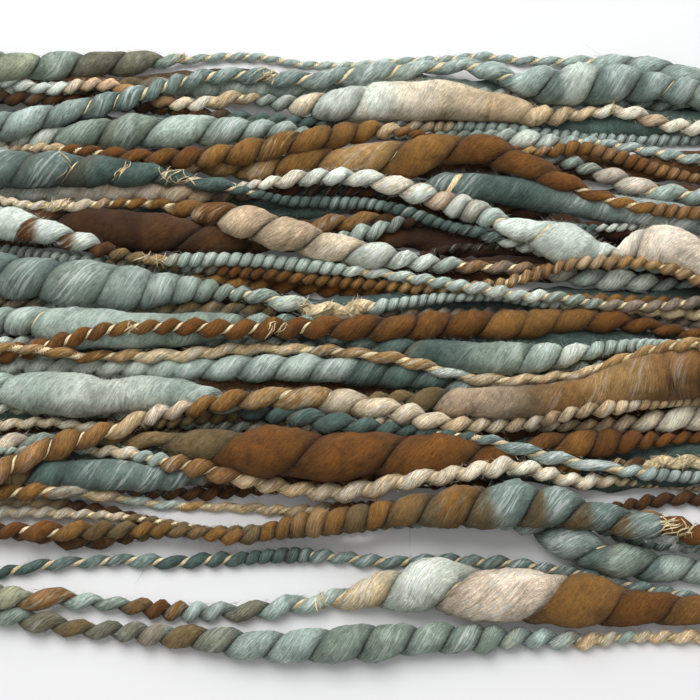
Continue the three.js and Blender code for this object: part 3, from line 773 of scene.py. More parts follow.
def wrap_row(wrap):
    """Everything about one wrap, sampled along its closed line."""
    row = SimpleNamespace(wide=wrap.wide)
    px = PHOTO_MIDDLE + SIDES * PIXELS_PER_MM
    (right, right_radii), (left, left_radii) = wrap.ends[1], wrap.ends[-1]
    parts = [
        (wrap.far.points, wrap.far.radii, px),
        (right, right_radii, 0 * right_radii),
        (wrap.near.points[::-1], wrap.near.radii[::-1], px[::-1]),
        (left[::-1], left_radii[::-1], 0 * left_radii),
    ]
    points, radii, places = [np.concatenate(values) for values in zip(*parts)]
    row.line, (radius, row.at), index = spline(points, [radii, places])
    row.part = np.repeat(range(4), [len(part[1]) for part in parts])[index]
    row.seen = row.part % 2 == 0
    radius = blurred(radius, EVEN.radius)
    n = len(row.line)
    base, accent = np.empty((n, 4)), np.empty((n, 4))
    gold, coil, fluff, twist = np.zeros(n), np.zeros(n), np.zeros(n), np.ones(n)
    row.low, row.edge, row.edge_wide = np.zeros(n), np.zeros((n, 3)), np.zeros(n)
    for part, one in ((0, wrap.far), (2, wrap.near)):
        here = row.part == part
        at = row.at[here]
        twist[here] = np.interp(at, *np.transpose(one.twist or [(0, 1)]))
        base[here], accent[here] = dye_rows(one, at)
        gold[here] = ranges(at, one.gold)
        coil[here] = ranges(at, one.coil, 4)
        fluff[here] = ranges(at, one.fluff, 12)
        row.low[here] = sum(one.layer) < 6
        for low, high, name, wide in one.edges:
            chosen = here & (row.at > low) & (row.at < high)
            row.edge[chosen], row.edge_wide[chosen] = dyed(name)[:3], wide
    for part in (1, 3):
        here = row.part == part
        base[here], accent[here] = outside_dyes(wrap, here.sum())
        gold[here] = wave(here.sum(), 70) > END_GOLD
    fluff = blurred(fluff, EVEN.fluff)
    base, row.accent = blurred(base, EVEN.dye), blurred(accent, EVEN.dye)
    row.base = mix(base, blurred(base, EVEN.felt_dye), smooth(0.2, 0.8, fluff)[:, None])
    row.gold, row.coil = blurred(gold, EVEN.line) * (1 - 0.8 * coil), blurred(coil, EVEN.line)

    row.ds = np.linalg.norm(np.roll(row.line, -1, 0) - row.line, axis=1)
    row.place = np.cumsum(row.ds)
    row.tangent = unit(np.roll(row.line, -1, 0) - np.roll(row.line, 1, 0))
    row.level = unit(np.stack([-row.tangent[:, 1], row.tangent[:, 0], np.zeros(n)], 1))
    row.upright = np.cross(row.tangent, row.level)
    row.facing = np.arctan2(-(row.upright @ FORWARD), -(row.level @ FORWARD))

    row.slub = smooth(*SLUB, 2 * radius)
    thin_turn = mix(THIN_TURN, BOUND_TURN, blurred(row.gold, EVEN.bound))
    plied = mix(SLUB_TURN, FAT_TURN, smooth(*FAT, 2 * radius))
    turn = mix(mix(thin_turn, plied, row.slub), COIL_TURN, row.coil) * 2 * radius
    flat = blurred(np.where(row.seen & wrap.wide, 1.0, 0.0), EVEN.flat)
    row.flat = mix(1, BED_FLAT, flat)
    turn = mix(turn, BED_TURN, flat) * (blurred(twist, EVEN.twist) * (1 + uneven(n, *TURN_WAVE)))
    turned = np.cumsum(row.ds / turn)
    turned = fit_creases(turned * (round(turned[-1]) / turned[-1]), row, wrap)
    row.turn = blurred(row.ds / np.gradient(turned), EVEN.line)
    row.angle = -ROUND * turned
    felted = FELT_WAVE[0] * smooth(0.1, 0.9, wave(n, FELT_WAVE[1])) * row.slub
    row.felted = np.maximum(np.maximum(flat, fluff), felted)
    # Thin yarn winds round its binder, so it is slimmer than the room that it takes.
    row.radius = radius * mix(mix(THIN_WIDE, SLUB_WIDE, row.slub), COIL_WIDE, row.coil)
    row.radius *= 1 + (1 - 0.7 * fluff) * uneven(n, *RADIUS_WAVE)
    row.radius *= 1 + row.slub * (1 - fluff) * uneven(n, *SLUB_WAVE)
    return row


def lobe_height(theta):
    """Height of a round lobe by the angle from the crease: 1 at its middle, 0 in the crease."""
    away = np.minimum(theta, ROUND - theta)
    return np.sqrt(np.maximum(1 - (1 - away / np.pi) ** 2, 0))


def section(theta, row, index):
    """Radius of the yarn at samples of it, in its full radius, by the angle from the crease."""
    away = np.minimum(theta, ROUND - theta)
    thin = -OFF_AXIS * np.cos(theta) + np.sqrt((1 - OFF_AXIS) ** 2 - (OFF_AXIS * np.sin(theta)) ** 2)
    thin = thin * (1 - CREASE_DEEP * np.exp(-((away / CREASE_WIDE) ** 2)))
    lobe = lobe_height(theta)
    waist = mix(SLUB_WAIST, FELTED_WAIST, row.felted[index])
    fat = waist + (1 - waist) * lobe**0.9
    return mix(mix(thin, fat, row.slub[index]), 0.5 + 0.5 * lobe, row.coil[index])


def outward(row, index, angle):
    """Directions out from the yarn's middle at samples of it, by the angle from level."""
    return np.cos(angle)[:, None] * row.level[index] + np.sin(angle)[:, None] * row.upright[index]


def columns(count):
    """Angles of a ring's corners, closer together at the crease."""
    t = np.arange(count) / count
    return ROUND * (t - 0.07 * np.sin(ROUND * t))


def sides_of(row):
    """How many sides a ring has at each sample: more where the yarn is thick and seen."""
    shown = SEEN_SIDES[np.searchsorted(SEEN_STEPS, 2 * row.radius, side="right")]
    rear = REAR_SIDES[np.searchsorted(REAR_STEPS, 2 * row.radius, side="right")]
    sides = np.full(len(rear), REAR_SIDES[0]) if row.wide else np.where(row.seen, shown, rear)
    reach = int(5 / FINE)
    return np.max([np.roll(sides, shift) for shift in range(-reach, reach + 1, 2)] + [sides], 0)


def rings_of(row):
    """Samples at which the wrap has a ring: so many for each turn of the twist."""
    each = np.where(row.seen, mix(RINGS, COIL_RINGS, row.coil) * (1 - 0.3 * row.low), REAR_RINGS)
    count = np.cumsum(row.ds / np.minimum(row.turn / each, RING_STEP))
    total = int(round(count[-1]))
    return np.unique(np.searchsorted(count, np.arange(total) * count[-1] / total))


def tube(row):
    """Corners and faces of one wrap, and the sample and the angle from the crease of each corner."""
    rings = rings_of(row)
    sides = sides_of(row)[rings]
    n = len(row.line)
    lobe = wave(n, PUFF_WAVE)
    lump = wave(n, LUMP_WAVE, LUMPS)
    puff = wave(n, PUFF_WAVE, PUFFS)
    offsets = np.concatenate([[0], np.cumsum(sides)])
    sample = np.repeat(rings, sides)
    theta = np.concatenate([columns(count) for count in sides])
    felted = row.felted[sample]
    turned = theta + row.angle[sample]
    bump = round_noise(lump, sample, theta)
    swell = round_noise(puff, sample, turned, eased=True)
    shape = section(theta, row, sample) * (1 + 0.045 * (1 - 0.6 * felted) * bump + 0.12 * felted * swell)
    radius = row.radius[sample] * (shape + (0.05 - 0.03 * felted) * lobe[sample])
    corners = row.line[sample] + outward(row, sample, turned) * radius[:, None]
    wider = np.cos(turned) * radius * (row.flat[sample] - 1)
    corners += wider[:, None] * row.level[sample]
    quads, tris = [], []
    for count in np.unique(sides):
        same = np.nonzero((sides == count) & (np.roll(sides, -1) == count))[0]
        j = np.arange(count)
        a = offsets[same][:, None]
        b = offsets[(same + 1) % len(rings)][:, None]
        quads.append(np.stack([a + j, b + j, b + (j + 1) % count, a + (j + 1) % count], 2).reshape(-1, 4))
    for i in np.nonzero(sides != np.roll(sides, -1))[0]:
        k = (i + 1) % len(rings)
        tris += zipped(offsets[i], columns(sides[i]), offsets[k], columns(sides[k]))
    return corners, np.concatenate(quads), np.array(tris, int).reshape(-1, 3), sample, theta


def zipped(first, first_angles, second, second_angles):
    """Triangles that join two rings of different counts, given where their corners start."""
    faces, i, j = [], 0, 0
    a, b = np.append(first_angles, ROUND), np.append(second_angles, ROUND)
    m, n = len(first_angles), len(second_angles)
    while i < m or j < n:
        pair = (first + i % m, second + j % n)
        if j >= n or (i < m and a[i + 1] <= b[j + 1]):
            i += 1
            faces.append((*pair, first + i % m))
        else:
            j += 1
            faces.append((*pair, second + j % n))
    return faces


# Meshes
class Piece:
    """Collects parts, in millimetres, into one mesh."""

    def __init__(self):
        self.rows = {}
        self.count = 0

    def add(self, corners, quads, tris, **others):
        """others: colours for each corner, and maps for each corner of the quads and of the tris."""
        corners[:, 2] = np.maximum(corners[:, 2], FLOOR_GAP)
        rows = {"corners": corners, "quads": quads + self.count, "tris": tris + self.count, **others}
        for key, values in rows.items():
            self.rows.setdefault(key, []).append(values)
        self.count += len(corners)

    def made(self, name, material):
        rows = {key: np.concatenate(values) for key, values in self.rows.items()}
        mesh = bpy.data.meshes.new(name)
        faces = rows["quads"].tolist() + rows["tris"].tolist()
        mesh.from_pydata((rows["corners"] * MM).tolist(), [], faces, shade_flat=False)
        for key in [key for key in ("dye", "accent") if key in rows]:
            opaque = [(0, 0), (0, 4 - rows[key].shape[1])]
            colours = np.clip(np.pad(rows[key], opaque, constant_values=1), 0, 1)
            mesh.attributes.new(key, "FLOAT_COLOR", "POINT").data.foreach_set("color", colours.ravel())
        if "quad_map" in rows:
            places = np.concatenate([rows["quad_map"], rows["tri_map"]])
            mesh.uv_layers.new(name="yarn").data.foreach_set("uv", places.ravel())
        mesh.validate()
        mesh.materials.append(material)
        piece = bpy.data.objects.new(name, mesh)
        bpy.context.scene.collection.objects.link(piece)
        return piece


def ring_quads(a, b, sides):
    """Faces between rings, given the first corners of the rings on either side."""
    j = np.arange(sides)
    k = (j + 1) % sides
    return np.stack([a + j, a + k, b + k, b + j], -1).reshape(-1, 4)


# The wool
LOBE_TONES = 0.34  # how much lobes differ in tone
PAINTED_SHADE = (0.2, 1.22)  # painted shade in a crease and painted light on the middle of a lobe, as factors on the dye
DARK = 0.35  # the mean linear colour under which a dye counts as dark


def lobe_places(row, sample, theta):
    """For each corner: the sample at the middle of the lobe that it is on, that lobe's number,
    the next lobe's number and how far the one turns into the other, which is behind the yarn."""
    front = row.facing[sample]
    turned = theta + row.angle[sample] - front
    number = np.round(-turned / ROUND)
    beta = turned + ROUND * number
    share = 0.5 * smooth(0.7 * np.pi, np.pi, np.abs(beta))
    middle = (row.angle[sample] + np.pi - front) / ROUND
    place = row.place[sample] + (number - np.sign(beta) * share + middle) * row.turn[sample]
    at = np.searchsorted(row.place, place % row.place[-1])
    return np.clip(at, 0, len(row.place) - 1), number, number - np.sign(beta), share


def hashed(number, salt):
    """A fixed value from 0 to 1 for each number."""
    value = np.sin(number * 12.9898 + salt * 78.233) * 43758.5453
    return value - np.floor(value)


def yarn_colours(row, sample, theta):
    """The dye of each corner with how felted it is, and its accent dye with how strongly the painted silk
    highlight shows; both carry painted shade in the creases and painted light on the lobes.
    """
    felted = row.felted[sample]
    at, lobe, beside, share = lobe_places(row, sample, theta)
    plain = felted > 0.5
    at = np.where(plain, sample, at)
    lobe, beside = np.where(plain, 0, lobe), np.where(plain, 0, beside)
    salt = row.place[-1] % 97

    def chance(offset, over=None):
        """A value from 0 to 1 for each lobe, or 1 for the lobes whose value is over the given one."""
        pair = [hashed(number, salt + offset) for number in (lobe, beside)]
        if over is not None:
            pair = [(value > over).astype(float) for value in pair]
        return mix(*pair, share)

    base, accent = row.base[at, :3], row.accent[at, :3]
    colour = base * (1 + LOBE_TONES * (chance(0) - 0.5))[:, None]
    second = mix(base * 1.25, accent, chance(5, 0.45)[:, None])
    # Some lobes have a lock of another colour along one edge.
    dark = base.mean(1) < DARK
    lock = mix(accent, dyed("brown")[:3], (dark * chance(9, 0.5))[:, None])
    lower = np.where(row.part[sample] == 2, ROUND - theta, theta)
    edge = chance(7, 0.7) * (1 - smooth(0.4, 1.4, lower / (0.8 + 2.0 * chance(11))))
    edge *= (0.45 + 0.5 * chance(15)) * (1 - smooth(0.2, 0.5, felted)) * (1 - 0.7 * row.seen[at])
    colour = mix(colour, lock, edge[:, None])
    # The strand's own table names these lower edges: partly locks of a dye, partly painted shade, wider
    # where the yarn faces down in the view.
    down = -(outward(row, sample, theta + row.angle[sample]) @ UPWARD)
    wide = row.edge_wide[at] * ROUND * (1 + 0.75 * down)
    edge = (wide > 0) * (1 - smooth(0.55, 1.25, lower / np.maximum(wide, 0.1)))
    colour = mix(colour, row.edge[at], edge[:, None])
    crown = lobe_height(theta)
    # A painted silk highlight, strongest on the middle of each lobe, where light from above catches it.
    silk_glint = row.base[at, 3] * (0.3 + 1.3 * chance(13)) * smooth(0.75, 1.0, crown) * (1 - edge)
    felt = felted + 0.6 * smooth(4.5, 9, 2 * row.radius[sample])
    # Painted shade darkens the dye towards each crease and painted light brightens the middle of each
    # lobe; felted wool keeps nearly its plain dye.
    painted_shade = mix(mix(*PAINTED_SHADE, crown), 1, 0.95 * felted)[:, None]
    return np.column_stack([colour * painted_shade, felt]), np.column_stack([second * painted_shade, silk_glint])


def yarn_map(row, sample, theta, faces):
    """Millimetres round and along the yarn for each corner of its faces, without a jump in a face."""
    sample, theta = sample[faces], theta[faces]
    theta = np.where(theta.max(1, keepdims=True) - theta > np.pi, theta + ROUND, theta)
    slid = np.cumsum(0.4 * row.radius * np.diff(row.angle, prepend=row.angle[0]))
    along = row.place[sample]
    past_end = along.max(1, keepdims=True) - along > row.place[-1] / 2
    u = (theta - np.pi) * row.radius[sample] + slid[sample] + past_end * slid[-1]
    return np.stack([u, along + past_end * row.place[-1]], -1).reshape(-1, 2)


def yarn_piece(name, material, rows):
    piece = Piece()
    for row in rows:
        corners, quads, tris, sample, theta = row.tube
        dye, accent = yarn_colours(row, sample, theta)
        quad_map, tri_map = [yarn_map(row, sample, theta, faces) for faces in (quads, tris)]
        piece.add(corners, quads, tris, dye=dye, accent=accent, quad_map=quad_map, tri_map=tri_map)
    return piece.made(name, material)


# The gold binder: its thread, and the fibres of its frayed places.
THREAD = SimpleNamespace(tone=(0.85, 1.15), width=(1.3, 1.9), thick=0.45)
FRAYED = SimpleNamespace(tone=(0.75, 1.25), width=(0.22, 0.55), thick=0.16)
WOBBLE, WOBBLE_STEP = 0.25, 2.2
MAP_FAR = 500  # how far apart the maps of threads may lie
THREAD_LIFT = 0.12  # how high the thread lies over the crease
LEAST_RUN, LEAST_PART = 24, 12  # the shortest stretch of thread and part of one, in samples


def add_thread(piece, line, out, kind, step, sides):
    """Adds a flattened gold thread along a line, closed at both ends. out: away from the yarn."""
    tone, width = rng.uniform(*kind.tone), rng.uniform(*kind.width)
    place = np.concatenate([[0], np.cumsum(np.linalg.norm(np.diff(line, axis=0), axis=1))])
    count = max(3, int(place[-1] / step))
    at = np.linspace(0, place[-1], count)
    points, up = [np.stack([np.interp(at, place, v) for v in row.T], 1) for row in (line, out)]
    tangent = unit(np.gradient(points, axis=0))
    up = unit(up - (up * tangent).sum(1)[:, None] * tangent)
    knots = np.arange(0, at[-1] + 3, WOBBLE_STEP)
    wobble = 1 + WOBBLE * np.interp(at, knots, rng.uniform(-1, 1, len(knots)))
    ends = np.minimum(1, np.minimum(np.arange(count), np.arange(count)[::-1]) / 2 + 0.15)
    angle = ROUND * np.arange(sides) / sides
    flat = np.outer(wobble * ends, np.cos(angle) * width / 2)[..., None] * np.cross(tangent, up)[:, None]
    high = np.outer(ends, np.sin(angle) * kind.thick / 2)[..., None] * up[:, None]
    corners = (points[:, None] + flat + high).reshape(-1, 3)
    rings = np.arange(count)[:, None] * sides
    quads = ring_quads(rings[:-1], rings[1:], sides)
    last = (count - 1) * sides
    caps = [(0, k + 1, k) for k in range(1, sides - 1)]
    caps += [(last, last + k, last + k + 1) for k in range(1, sides - 1)]
    j = np.arange(sides)
    across = np.stack([j, j + 1, j + 1, j], 1)[None] * width / sides * 2.4
    along = np.stack([at[:-1], at[:-1], at[1:], at[1:]], 1)[:, None]
    quad_map = np.stack(np.broadcast_arrays(across, along), -1).reshape(-1, 2)
    dye = np.tile(dyed("gold")[:3] * tone, (len(corners), 1))
    quad_map = quad_map + rng.uniform(0, MAP_FAR, 2)
    tri_map = np.zeros((3 * len(caps), 2))
    piece.add(corners, quads, np.array(caps), dye=dye, quad_map=quad_map, tri_map=tri_map)


def stretches(flags, least):
    """Starts and stops of the stretches of equal flags that have at least so many samples."""
    edges = [0, *(np.flatnonzero(np.diff(flags)) + 1), len(flags)]
    return [(start, stop) for start, stop in zip(edges, edges[1:]) if stop - start >= least]


def gold_piece(name, material, rows):
    """The binder of some wraps: its thread lies in their crease."""
    piece = Piece()
    for row in rows:
        every = slice(None)
        out = outward(row, every, row.angle)
        radius = row.radius * section(np.zeros(1), row, every) + THREAD_LIFT
        line = row.line + out * radius[:, None]
        for start, stop in stretches(row.gold > 0.5, LEAST_RUN):
            if row.gold[start] <= 0.5:
                continue
            for first, last in stretches(row.seen[start:stop], LEAST_PART):
                here = slice(start + first, start + last)
                step, sides = (0.7, 5) if row.seen[here.start] else (1.5, 4)
                add_thread(piece, line[here], out[here], THREAD, step, sides)
    return piece.made(name, material)


def frayed_fibre(row, middle, wide):
    """The line of one fibre that winds loosely over the yarn, and the way out from the yarn."""
    t = np.linspace(0, 1, 26)
    away = rng.uniform(-0.5, 0.5) * wide + (t - 0.5) * wide * rng.uniform(0.7, 1.6)
    away += 0.5 * np.sin(t * rng.uniform(3, 7) + rng.uniform(0, 6))
    index = (middle + away / FINE).astype(int) % len(row.line)
    turned = rng.uniform(2, 5.5) / row.radius[middle] * rng.choice([1, 1, 1, -1])
    angle = row.facing[middle] + rng.normal(0, 0.4) - turned * (t - 0.5)
    shape = section((angle - row.angle[index]) % ROUND, row, index)
    free = smooth(0.75, 1.0, t) * rng.uniform(-0.3, 1.6)
    radius = blurred(row.radius[index] * shape, 3) + FRAYED.thick + np.maximum(free, 0)
    out = outward(row, index, angle)
    line = row.line[index] + out * radius[:, None]
    line[:, 2] = np.maximum(line[:, 2], 3 * FLOOR_GAP)
    return line, out


def tufts_piece(name, material, wraps, rows):
    """Places where the binder frays: some of its fibres lie over the yarn in a loose net."""
    piece = Piece()
    for wrap, row in zip(wraps, rows):
        for part, one in ((0, wrap.far), (2, wrap.near)):
            here = np.flatnonzero(row.part == part)
            for x, spread, fibres in one.tufts:
                middle = here[np.argmin(np.abs(row.at[here] - x))]
                for _ in range(int(fibres)):
                    line, out = frayed_fibre(row, middle, spread / PIXELS_PER_MM)
                    add_thread(piece, line, out, FRAYED, step=0.6, sides=3)
    return piece.made(name, material)


# Loose fibres. lean: spread of their slant along and round the yarn. bend: spread of their bend.
# long: shape and scale of their length's distribution. felted: how much longer they are on felt.
SHORT_FIBRES = SimpleNamespace(
    parts=1, lean=(1.9, 0.9), bend=0, long=(3.0, 0.27), most=4.5, felted=1.2, thick=(0.032, 0.062)
)
LONG_FIBRES = SimpleNamespace(
    parts=4, lean=(1.5, 1.5), bend=1.1, long=(4.0, 0.9), most=6.0, felted=0, thick=(0.03, 0.045)
)
SIDE_ON = (1.35, 0.45)  # mean and spread of the angle between a fibre's root and the yarn's front
ROOT_DEPTH = 0.72  # in the yarn's radius


def add_fibres(piece, row, weight, count, kind):
    """Adds thin closed spikes, rooted under the yarn's surface where the weight puts them."""
    pick = np.searchsorted(np.cumsum(weight) / weight.sum(), rng.uniform(0, 1, count))
    angle = row.facing[pick] + rng.choice([-1, 1], count) * rng.normal(*SIDE_ON, count)
    tangent, radius, felted = row.tangent[pick], row.radius[pick], row.felted[pick]
    out = outward(row, pick, angle)
    root = row.line[pick] + out * (radius * ROOT_DEPTH)[:, None]
    lean = rng.normal(0, kind.lean, (count, 2))
    lean += np.where(lean < 0, -0.4, 0.4)
    way = unit(out + lean[:, :1] * tangent + lean[:, 1:] * np.cross(tangent, out))
    bend = rng.normal(0, kind.bend, (count, 3))
    long = (0.3 * radius + rng.gamma(*kind.long, count)) * (1 + kind.felted * felted)
    long = np.minimum(long, kind.most)
    thick = rng.uniform(*kind.thick, count) * (1 - 0.35 * felted)
    side = unit(np.cross(way, rng.normal(0, 1, (count, 3))))
    other = np.cross(way, side)

    def middle(t):
        return root + way * (long * t)[:, None] + bend * (long * 0.6 * t * t)[:, None]

    corners = [
        middle(t) + (side * math.cos(a) + other * math.sin(a)) * (thick * (1 - 0.5 * t))[:, None]
        for t in np.arange(kind.parts) / kind.parts
        for a in ROUND * np.arange(3) / 3
    ]
    corners = np.stack([*corners, middle(1)], 1)
    each = corners.shape[1]
    start = (np.arange(count) * each)[:, None, None]
    rings = start + 3 * np.arange(kind.parts)[:, None]
    quads = ring_quads(rings[:, :-1], rings[:, 1:], 3)
    top = each - 4
    ends = [(0, 2, 1), (top, top + 1, each - 1), (top + 1, top + 2, each - 1), (top + 2, top, each - 1)]
    tris = (start + np.array(ends)).reshape(-1, 3)
    colour = mix(row.base[pick, :3], row.accent[pick, :3], rng.uniform(0, 0.4, (count, 1)))
    colour = mix(colour, 0.8, rng.uniform(0, 0.35, (count, 1)) ** 2)
    piece.add(corners.reshape(-1, 3), quads, tris, dye=np.repeat(colour, each, 0))


def fuzz_piece(name, material, rows, counts):
    """Loose fibres that stand off the yarn, most of them where it is thick, felted and seen."""
    piece = Piece()
    weights = [
        row.ds * np.where(row.seen, 1.0, 0.2) * (0.4 + row.radius / 3) * (1 + 3 * row.felted)
        * (1 - 0.7 * row.low) * (0.1 if row.wide else 1)
        for row in rows
    ]
    total = np.array([weight.sum() for weight in weights])
    for count, kind in counts:
        shares = np.round(count * total / total.sum()).astype(int)
        for row, weight, share in zip(rows, weights, shares):
            add_fibres(piece, row, weight, share, kind)
    return piece.made(name, material)


# Materials
class Nodes:
    """The nodes of a new material."""

    def __init__(self, name):
        self.material = bpy.data.materials.new(name)
        self.material.use_nodes = True
        self.tree = self.material.node_tree

    def fill(self, node, inputs):
        """Gives a node's inputs their values or links them."""
        for key, value in inputs.items():
            if isinstance(value, bpy.types.NodeSocket):
                self.tree.links.new(value, node.inputs[key])
            else:
                node.inputs[key].default_value = value

    def add(self, kind, inputs, **settings):
        node = self.tree.nodes.new("ShaderNode" + kind)
        for key, value in settings.items():
            setattr(node, key, value)
        self.fill(node, inputs)
        return node.outputs

    def noise(self, vector, scale, detail, rough, distort):
        names = ("Vector", "Scale", "Detail", "Roughness", "Distortion")
        return self.add("TexNoise", dict(zip(names, (vector, scale, detail, rough, distort))))[0]

    def fibrous(self, uv, across, along, detail, rough, distort):
        """Noise in the yarn's own millimetres, scaled: its streaks run along the second of them."""
        vector = self.add("Mapping", {"Vector": uv, "Scale": (across, along, 1)})[0]
        return self.noise(vector, 1.0, detail, rough, distort)

    def ranged(self, value, low, high, to_low, to_high):
        names = ("Value", "From Min", "From Max", "To Min", "To Max")
        return self.add("MapRange", dict(zip(names, (value, low, high, to_low, to_high))))[0]

    def math(self, operation, a, b):
        return self.add("Math", {0: a, 1: b}, operation=operation)[0]

    def times(self, *values):
        product = values[0]
        for value in values[1:]:
            product = self.math("MULTIPLY", product, value)
        return product

    def line_of(self, value, middle, reach):
        """1 where the value crosses the middle, and 0 a little way off: a thin wandering line."""
        below = self.ranged(value, middle - reach, middle, 0.0, 1.0)
        return self.times(below, self.ranged(value, middle, middle + reach, 1.0, 0.0))

    def mixed(self, factor, a, b):
        return self.add("Mix", {0: factor, 6: a, 7: b}, data_type="RGBA")[2]

    def scaled(self, colour, factor):
        return self.add("VectorMath", {0: colour, "Scale": factor}, operation="SCALE")[0]

    def bumped(self, height, distance):
        return self.add("Bump", {"Strength": 0.7, "Distance": distance, "Height": height})[0]

    def surface(self, inputs):
        self.fill(self.tree.nodes["Principled BSDF"], inputs)
        return self.material


def wool_material():
    nodes = Nodes("wool")
    uv = nodes.add("UVMap", {}, uv_map="yarn")[0]
    dye = nodes.add("VertexColor", {}, layer_name="dye")
    accent = nodes.add("VertexColor", {}, layer_name="accent")
    space = nodes.add("TexCoord", {})["Object"]
    felt_share, glint_share = dye["Alpha"], accent["Alpha"]
    locks = nodes.fibrous(uv, 0.8, 0.2, 3.0, 0.55, 0.4)
    fibres = nodes.fibrous(uv, 2.9, 0.5, 5.0, 0.65, 0.8)
    silk_glint = nodes.fibrous(uv, 0.75, 0.22, 3.0, 0.6, 0.3)
    felt = nodes.fibrous(uv, 2.2, 1.0, 4.0, 0.7, 2.2)
    cloud = nodes.noise(space, 230.0, 3.0, 0.6, 0.6)
    hair = nodes.fibrous(uv, 1.7, 0.3, 2.0, 0.5, 1.6)
    crossing = nodes.fibrous(uv, 0.9, 0.7, 2.0, 0.5, 2.5)

    def by_felt(value, low, high, smooth_wool, felted_wool):
        """A tone from a noise, with one range of tones on smooth wool and one on felted wool."""
        plain = nodes.ranged(value, low, high, *smooth_wool)
        return nodes.mixed(felt_share, plain, nodes.ranged(value, low, high, *felted_wool))

    def line_tone(value, middle, reach, tone):
        return nodes.ranged(nodes.line_of(value, middle, reach), 0.0, 1.0, 1.0, tone)

    lock = nodes.ranged(locks, 0.5, 0.7, 0.0, 0.85)
    lock = nodes.times(lock, nodes.ranged(felt_share, 0.0, 1.0, 1.0, 0.35))
    colour = nodes.mixed(lock, dye[0], accent[0])
    tone = nodes.times(
        by_felt(fibres, 0.34, 0.66, (0.45, 1.55), (0.78, 1.22)),
        by_felt(felt, 0.32, 0.68, (0.8, 1.2), (0.5, 1.5)),
        nodes.ranged(cloud, 0.3, 0.7, 0.7, 1.28),
        by_felt(nodes.line_of(hair, 0.5, 0.04), 0.0, 1.0, (0.93, 1.5), (0.99, 1.1)),
        line_tone(hair, 0.42, 0.03, 0.6),
        line_tone(crossing, 0.5, 0.018, 1.5),
        line_tone(crossing, 0.58, 0.016, 0.66),
    )
    # Silky patches: lower roughness gives real gloss, and the base colour is lightened towards near-white
    # as a painted highlight.
    gloss_and_glint = nodes.times(nodes.ranged(silk_glint, 0.5, 0.58, 0.0, 0.85), glint_share)
    bright = nodes.mixed(0.68, colour, (0.86, 0.9, 0.89, 1))
    glint = nodes.scaled(bright, nodes.ranged(fibres, 0.34, 0.66, 0.6, 1.3))
    return nodes.surface({
        "Base Color": nodes.mixed(gloss_and_glint, nodes.scaled(colour, tone), glint),
        "Roughness": nodes.ranged(gloss_and_glint, 0.0, 0.6, 0.9, 0.3),
        "Normal": nodes.bumped(nodes.math("ADD", fibres, felt), 0.0007),
        "Sheen Weight": 0.04,
        "Sheen Roughness": 0.5,
        "Specular IOR Level": 0.3,
    })


def gold_material():
    nodes = Nodes("gold_thread")
    dye = nodes.add("VertexColor", {}, layer_name="dye")[0]
    uv = nodes.add("UVMap", {}, uv_map="yarn")[0]
    grain = nodes.fibrous(uv, 6.0, 0.6, 4.0, 0.6, 0.4)
    return nodes.surface({
        "Base Color": nodes.scaled(dye, nodes.ranged(grain, 0.35, 0.65, 0.42, 1.5)),
        "Normal": nodes.bumped(grain, 0.0004),
        "Roughness": 0.45,
        "Specular IOR Level": 0.5,
    })


def fuzz_material():
    nodes = Nodes("fuzz")
    dye = nodes.add("VertexColor", {}, layer_name="dye")[0]
    return nodes.surface({"Base Color": dye, "Roughness": 0.6, "Sheen Weight": 0.2})


# The camera, the light and the floor
WORLD_STRENGTH = 0.44
# Each lamp: its name, its place and what it is aimed at in metres, its width and its power.
LAMPS = [
    ("key", (-0.2, 0.36, 1.06), (0, 0, 0), 1.1, 13.4),
    ("fill", (0.2, -0.6, 0.9), (0, 0, 0), 0.9, 1.3),
    ("back", (0, 0.5, 0.5), (0, 0.25, 0), 0.5, 1.5),
]
FLOOR_HALF = 3  # metres
FLOOR_COLOUR = (0.6, 0.6, 0.604, 1)
WHITE = (1, 1, 1, 1)


def set_camera():
    data = bpy.data.cameras.new("camera")
    data.lens = LENS
    data.sensor_width = SENSOR
    camera = bpy.data.objects.new("camera", data)
    camera.location = Vector(EYE * MM)
    camera.rotation_euler = (math.pi / 2 - VIEW_ELEVATION, 0, 0)
    bpy.context.scene.collection.objects.link(camera)
    bpy.context.scene.camera = camera


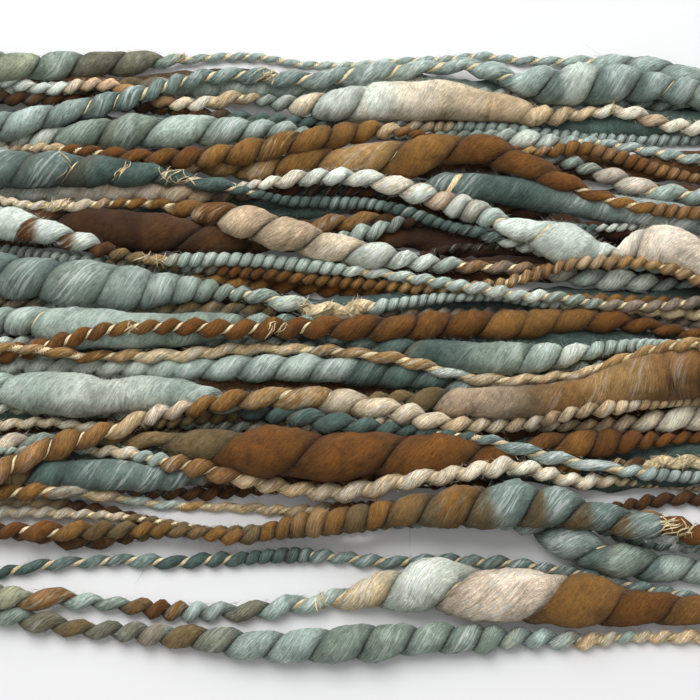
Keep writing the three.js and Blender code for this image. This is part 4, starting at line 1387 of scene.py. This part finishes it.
def set_light():
    scene = bpy.context.scene
    scene.view_settings.view_transform = "Standard"
    scene.world = bpy.data.worlds.new("studio")
    scene.world.use_nodes = True
    background = scene.world.node_tree.nodes["Background"]
    background.inputs["Color"].default_value = WHITE
    background.inputs["Strength"].default_value = WORLD_STRENGTH
    for name, place, aim, wide, power in LAMPS:
        data = bpy.data.lights.new(name, "AREA")
        data.shape = "DISK"
        data.size = wide
        data.energy = power
        lamp = bpy.data.objects.new(name, data)
        lamp.location = place
        lamp.rotation_euler = (Vector(place) - Vector(aim)).to_track_quat("Z", "Y").to_euler()
        scene.collection.objects.link(lamp)


def set_floor():
    mesh = bpy.data.meshes.new("floor")
    corners = [(x * FLOOR_HALF, y * FLOOR_HALF, 0) for x, y in ((-1, -1), (1, -1), (1, 1), (-1, 1))]
    mesh.from_pydata(corners, [], [(0, 1, 2, 3)])
    floor = bpy.data.objects.new("floor", mesh)
    bpy.context.scene.collection.objects.link(floor)
    mesh.materials.append(Nodes("floor").surface({
        "Base Color": FLOOR_COLOUR,
        "Roughness": 0.9,
        "Specular IOR Level": 0.1,
        "Emission Color": WHITE,
        "Emission Strength": 0.05,
    }))


# The pieces
PIECE_WRAPS = 4  # wraps in one piece of wool
BINDERS = 3
FIBRES = 48000
LONG_ONES = 160


def dressed(piece):
    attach(piece, "root")
    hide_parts("hank")


set_camera()
set_light()
set_floor()
wraps = build_wraps()
rows = [wrap_row(wrap) for wrap in wraps]
for row in rows:
    row.tube = tube(row)
wool, gold, fuzz = wool_material(), gold_material(), fuzz_material()
for number, start in enumerate(range(0, len(rows), PIECE_WRAPS), 1):
    dressed(yarn_piece(f"wraps_{number}", wool, rows[start : start + PIECE_WRAPS]))
for k in range(BINDERS):
    dressed(gold_piece(f"binder_{k + 1}", gold, rows[k::BINDERS]))
dressed(tufts_piece("binder_tufts", gold, wraps, rows))
dressed(fuzz_piece("fuzz", fuzz, rows, [(FIBRES, SHORT_FIBRES), (LONG_ONES, LONG_FIBRES)]))
